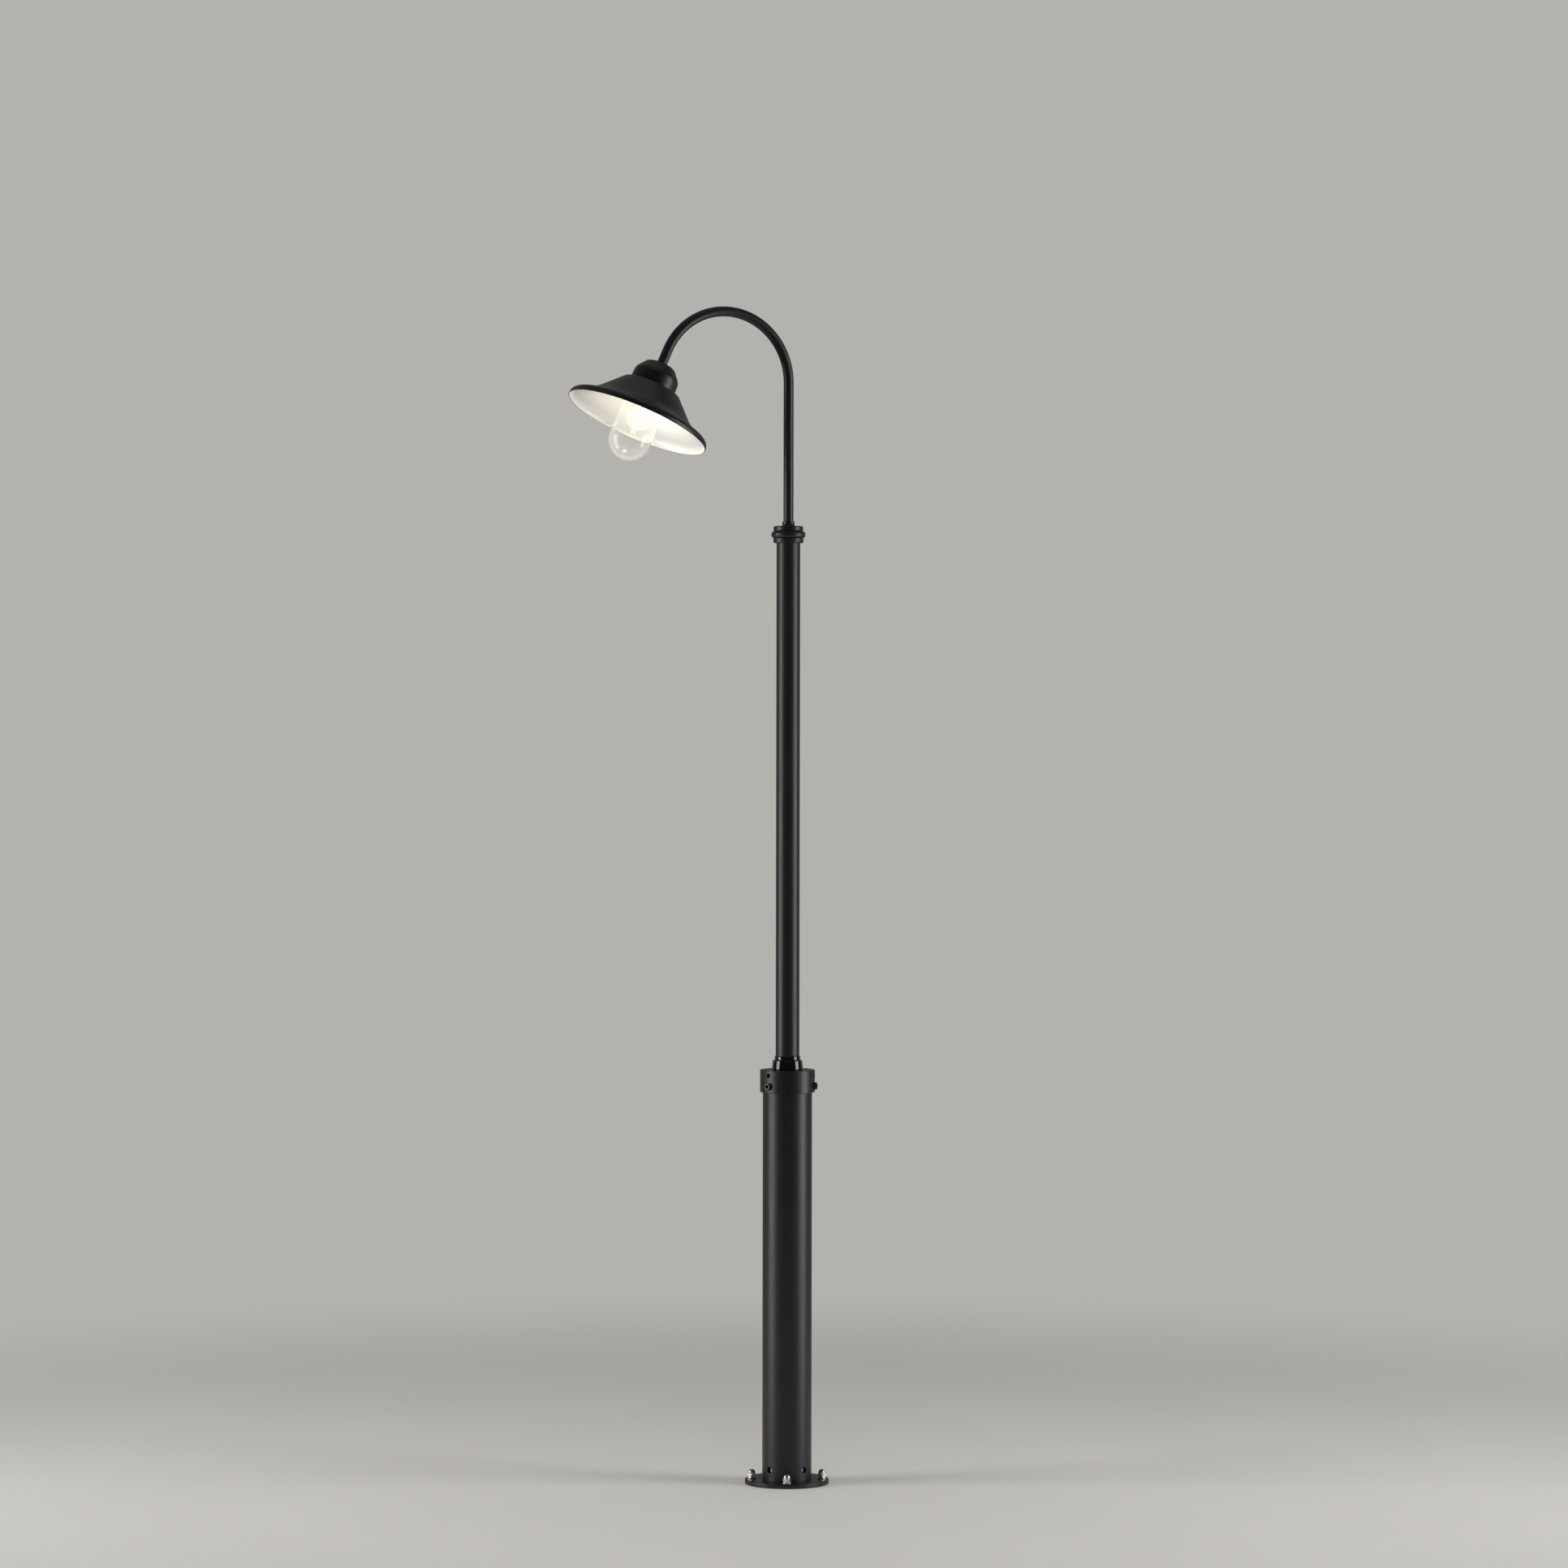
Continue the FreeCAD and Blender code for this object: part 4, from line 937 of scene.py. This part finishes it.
class POST_OT_studio(bpy.types.Operator):
    """Camera, floor, soft lights and the bulb's own light"""

    bl_idname = "lamp_post.studio"
    bl_label = "Studio"

    def execute(self, context):
        s = context.scene.post_studio
        ahead = Vector((math.sin(s.heading), math.cos(s.heading), 0))
        right = Vector((ahead.y, -ahead.x, 0))
        self.camera(context, s, ahead, right)
        self.floor(context)
        self.lights(context, s, ahead)
        self.surround(context, s, ahead)
        return {"FINISHED"}

    def camera(self, context, s, ahead, right):
        """Camera with a long lens, level but for its small roll."""
        data = bpy.data.cameras.new("camera")
        camera = bpy.data.objects.new("camera", data)
        context.scene.collection.objects.link(camera)
        camera.location = -ahead * s.distance - right * s.aside + Vector((0, 0, s.height))
        camera.rotation_mode = "QUATERNION"
        camera.rotation_quaternion = ahead.to_track_quat("-Z", "Y") @ Quaternion((0, 0, 1), s.roll)
        data.sensor_width = 36
        data.lens = s.lens
        data.shift_x, data.shift_y = s.shift_x, s.shift_y
        data.dof.use_dof = False
        context.scene.camera = camera

    def floor(self, context):
        """Matt floor that fades into the surround well away from the post, and is clear from below."""
        edge, fade_from, fade_to = 14, 0.7, 3.0
        mesh = bpy.data.meshes.new("studio_floor")
        bm = bmesh.new()
        bmesh.ops.create_circle(bm, cap_ends=True, segments=ROUND_STEPS, radius=edge)
        bm.to_mesh(mesh)
        bm.free()
        floor = bpy.data.objects.new("studio_floor", mesh)
        context.scene.collection.objects.link(floor)
        floor.location.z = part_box("base_plate")[0].z - 0.2 * MM
        base = tuple(context.scene.post_finishes.floor)
        material, tree, shader = started("matt studio floor", Roughness=0.85, IOR=1.4)
        spot = clouded(tree, shader, shaded(base, 0.95), base, 400, 0.85, 0.03)
        gap = add(tree, "ShaderNodeVectorMath", {0: spot}, operation="LENGTH")
        fade = add(tree, "ShaderNodeMapRange",
                   {"Value": gap.outputs["Value"], "From Min": fade_from, "From Max": fade_to},
                   interpolation_type="SMOOTHSTEP")
        under = add(tree, "ShaderNodeNewGeometry").outputs["Backfacing"]
        gone = add(tree, "ShaderNodeMath", {0: fade.outputs["Result"], 1: under}, operation="MAXIMUM")
        cleared(tree, shader, gone.outputs[0])
        mesh.materials.append(material)

    def lights(self, context, s, ahead):
        """A tall soft light on each side, one overhead, two that gloss doesn't show, and the lit bulb."""
        aim = Vector((0, 0, 1.25))
        swing, side_gap, side_size = math.radians(77), 3.0, (1.3, 3.2)
        for name, side in (("side_light_left", 1), ("side_light_right", -1)):
            out = Matrix.Rotation(swing * -side, 3, "Z") @ -ahead
            self.soft_light(context, name, aim + out * side_gap, aim, side_size, s.side_power)
        self.soft_light(context, "top_light", Vector((0, 0, 4.2)), aim, (2.6, 2.6), s.top_power)
        front, above = aim - ahead * 4.0, Vector((0, 0, 4.0))
        for name, place, watts in (("front_light", front, s.front_power),
                                   ("floor_light", above, s.floor_power)):
            self.soft_light(context, name, place, aim, (2.0, 2.0), watts).visible_glossy = False
        data = bpy.data.lights.new("bulb_light", "POINT")
        data.energy = s.lamp_power
        data.color = tuple(context.scene.post_finishes.glow)[:3]
        data.shadow_soft_size = 9 * MM
        lamp = bpy.data.objects.new("bulb_light", data)
        context.scene.collection.objects.link(lamp)
        lamp.location = lamp_place() @ Vector((0, 0, context.scene.post_bulb.light))
        lamp.visible_camera = False
        lamp.visible_transmission = False
        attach(lamp, "bulb")

    def soft_light(self, context, name, place, target, size, watts):
        """A rectangle of light that faces its target and isn't seen, nor through glass."""
        data = bpy.data.lights.new(name, "AREA")
        data.shape = "RECTANGLE"
        data.size, data.size_y = size
        data.energy = watts
        light = bpy.data.objects.new(name, data)
        context.scene.collection.objects.link(light)
        light.location = place
        light.rotation_mode = "QUATERNION"
        light.rotation_quaternion = (target - place).to_track_quat("-Z", "Y")
        light.visible_camera = False
        light.visible_transmission = False
        return light

    def surround(self, context, s, ahead):
        """Pale backdrop for the eye and through glass. Everything else is lit by a pale wall behind the post,
        which dims towards the camera's side of the studio."""
        world = bpy.data.worlds.new("studio")
        context.scene.world = world
        world.use_nodes = True
        tree = world.node_tree
        tree.nodes.clear()
        backdrop = tuple(context.scene.post_finishes.backdrop)
        path = add(tree, "ShaderNodeLightPath").outputs
        seen = add(tree, "ShaderNodeMath", {0: path["Is Camera Ray"], 1: path["Is Transmission Ray"]},
                   operation="MAXIMUM")
        way = add(tree, "ShaderNodeTexCoord").outputs["Generated"]
        behind = add(tree, "ShaderNodeVectorMath", {0: way, 1: ahead}, operation="DOT_PRODUCT")
        wall = add(tree, "ShaderNodeMapRange",
                   {"Value": behind.outputs["Value"], "From Min": 0.2, "From Max": 0.8, "To Min": s.fill,
                    "To Max": s.wall}, interpolation_type="SMOOTHSTEP")
        fill = add(tree, "ShaderNodeBackground", {"Color": backdrop, "Strength": wall.outputs["Result"]})
        back = add(tree, "ShaderNodeBackground", {"Color": backdrop, "Strength": 1.0})
        both = add(tree, "ShaderNodeMixShader", {0: seen.outputs[0], 1: fill.outputs[0], 2: back.outputs[0]})
        add(tree, "ShaderNodeOutputWorld", {"Surface": both.outputs[0]})
        context.scene.view_settings.view_transform = "Standard"


OPERATORS = (
    POST_OT_foot,
    POST_OT_collar_screws,
    POST_OT_set_screws,
    POST_OT_bush,
    POST_OT_arm,
    POST_OT_shade,
    POST_OT_globe,
    POST_OT_bulb,
    POST_OT_carried_parts,
    POST_OT_studio,
)


class POST_PT_panel(bpy.types.Panel):
    """Pieces of the lamp post and their sizes"""

    bl_idname = "POST_PT_panel"
    bl_label = "Lamp Post"
    bl_space_type = "VIEW_3D"
    bl_region_type = "UI"
    bl_category = "Lamp Post"

    def draw(self, context):
        for operator in OPERATORS:
            self.layout.operator(operator.bl_idname)
        for name, group in GROUPS.items():
            box = self.layout.box()
            box.label(text=group.__doc__)
            for key in group.__annotations__:
                box.prop(getattr(context.scene, name), key)


def register():
    """Registers the sizes, the operators and the panel."""
    for cls in (*GROUPS.values(), *OPERATORS, POST_PT_panel):
        bpy.utils.register_class(cls)
    for name, group in GROUPS.items():
        setattr(bpy.types.Scene, name, PointerProperty(type=group))


def unregister():
    """Takes them out again."""
    for name in GROUPS:
        delattr(bpy.types.Scene, name)
    for cls in (POST_PT_panel, *reversed(OPERATORS), *reversed(GROUPS.values())):
        bpy.utils.unregister_class(cls)


def main():
    """Registers the classes and makes every piece and the studio."""
    register()
    for operator in OPERATORS:
        getattr(bpy.ops.lamp_post, operator.bl_idname.split(".")[1])()


if __name__ == "__main__":
    main()
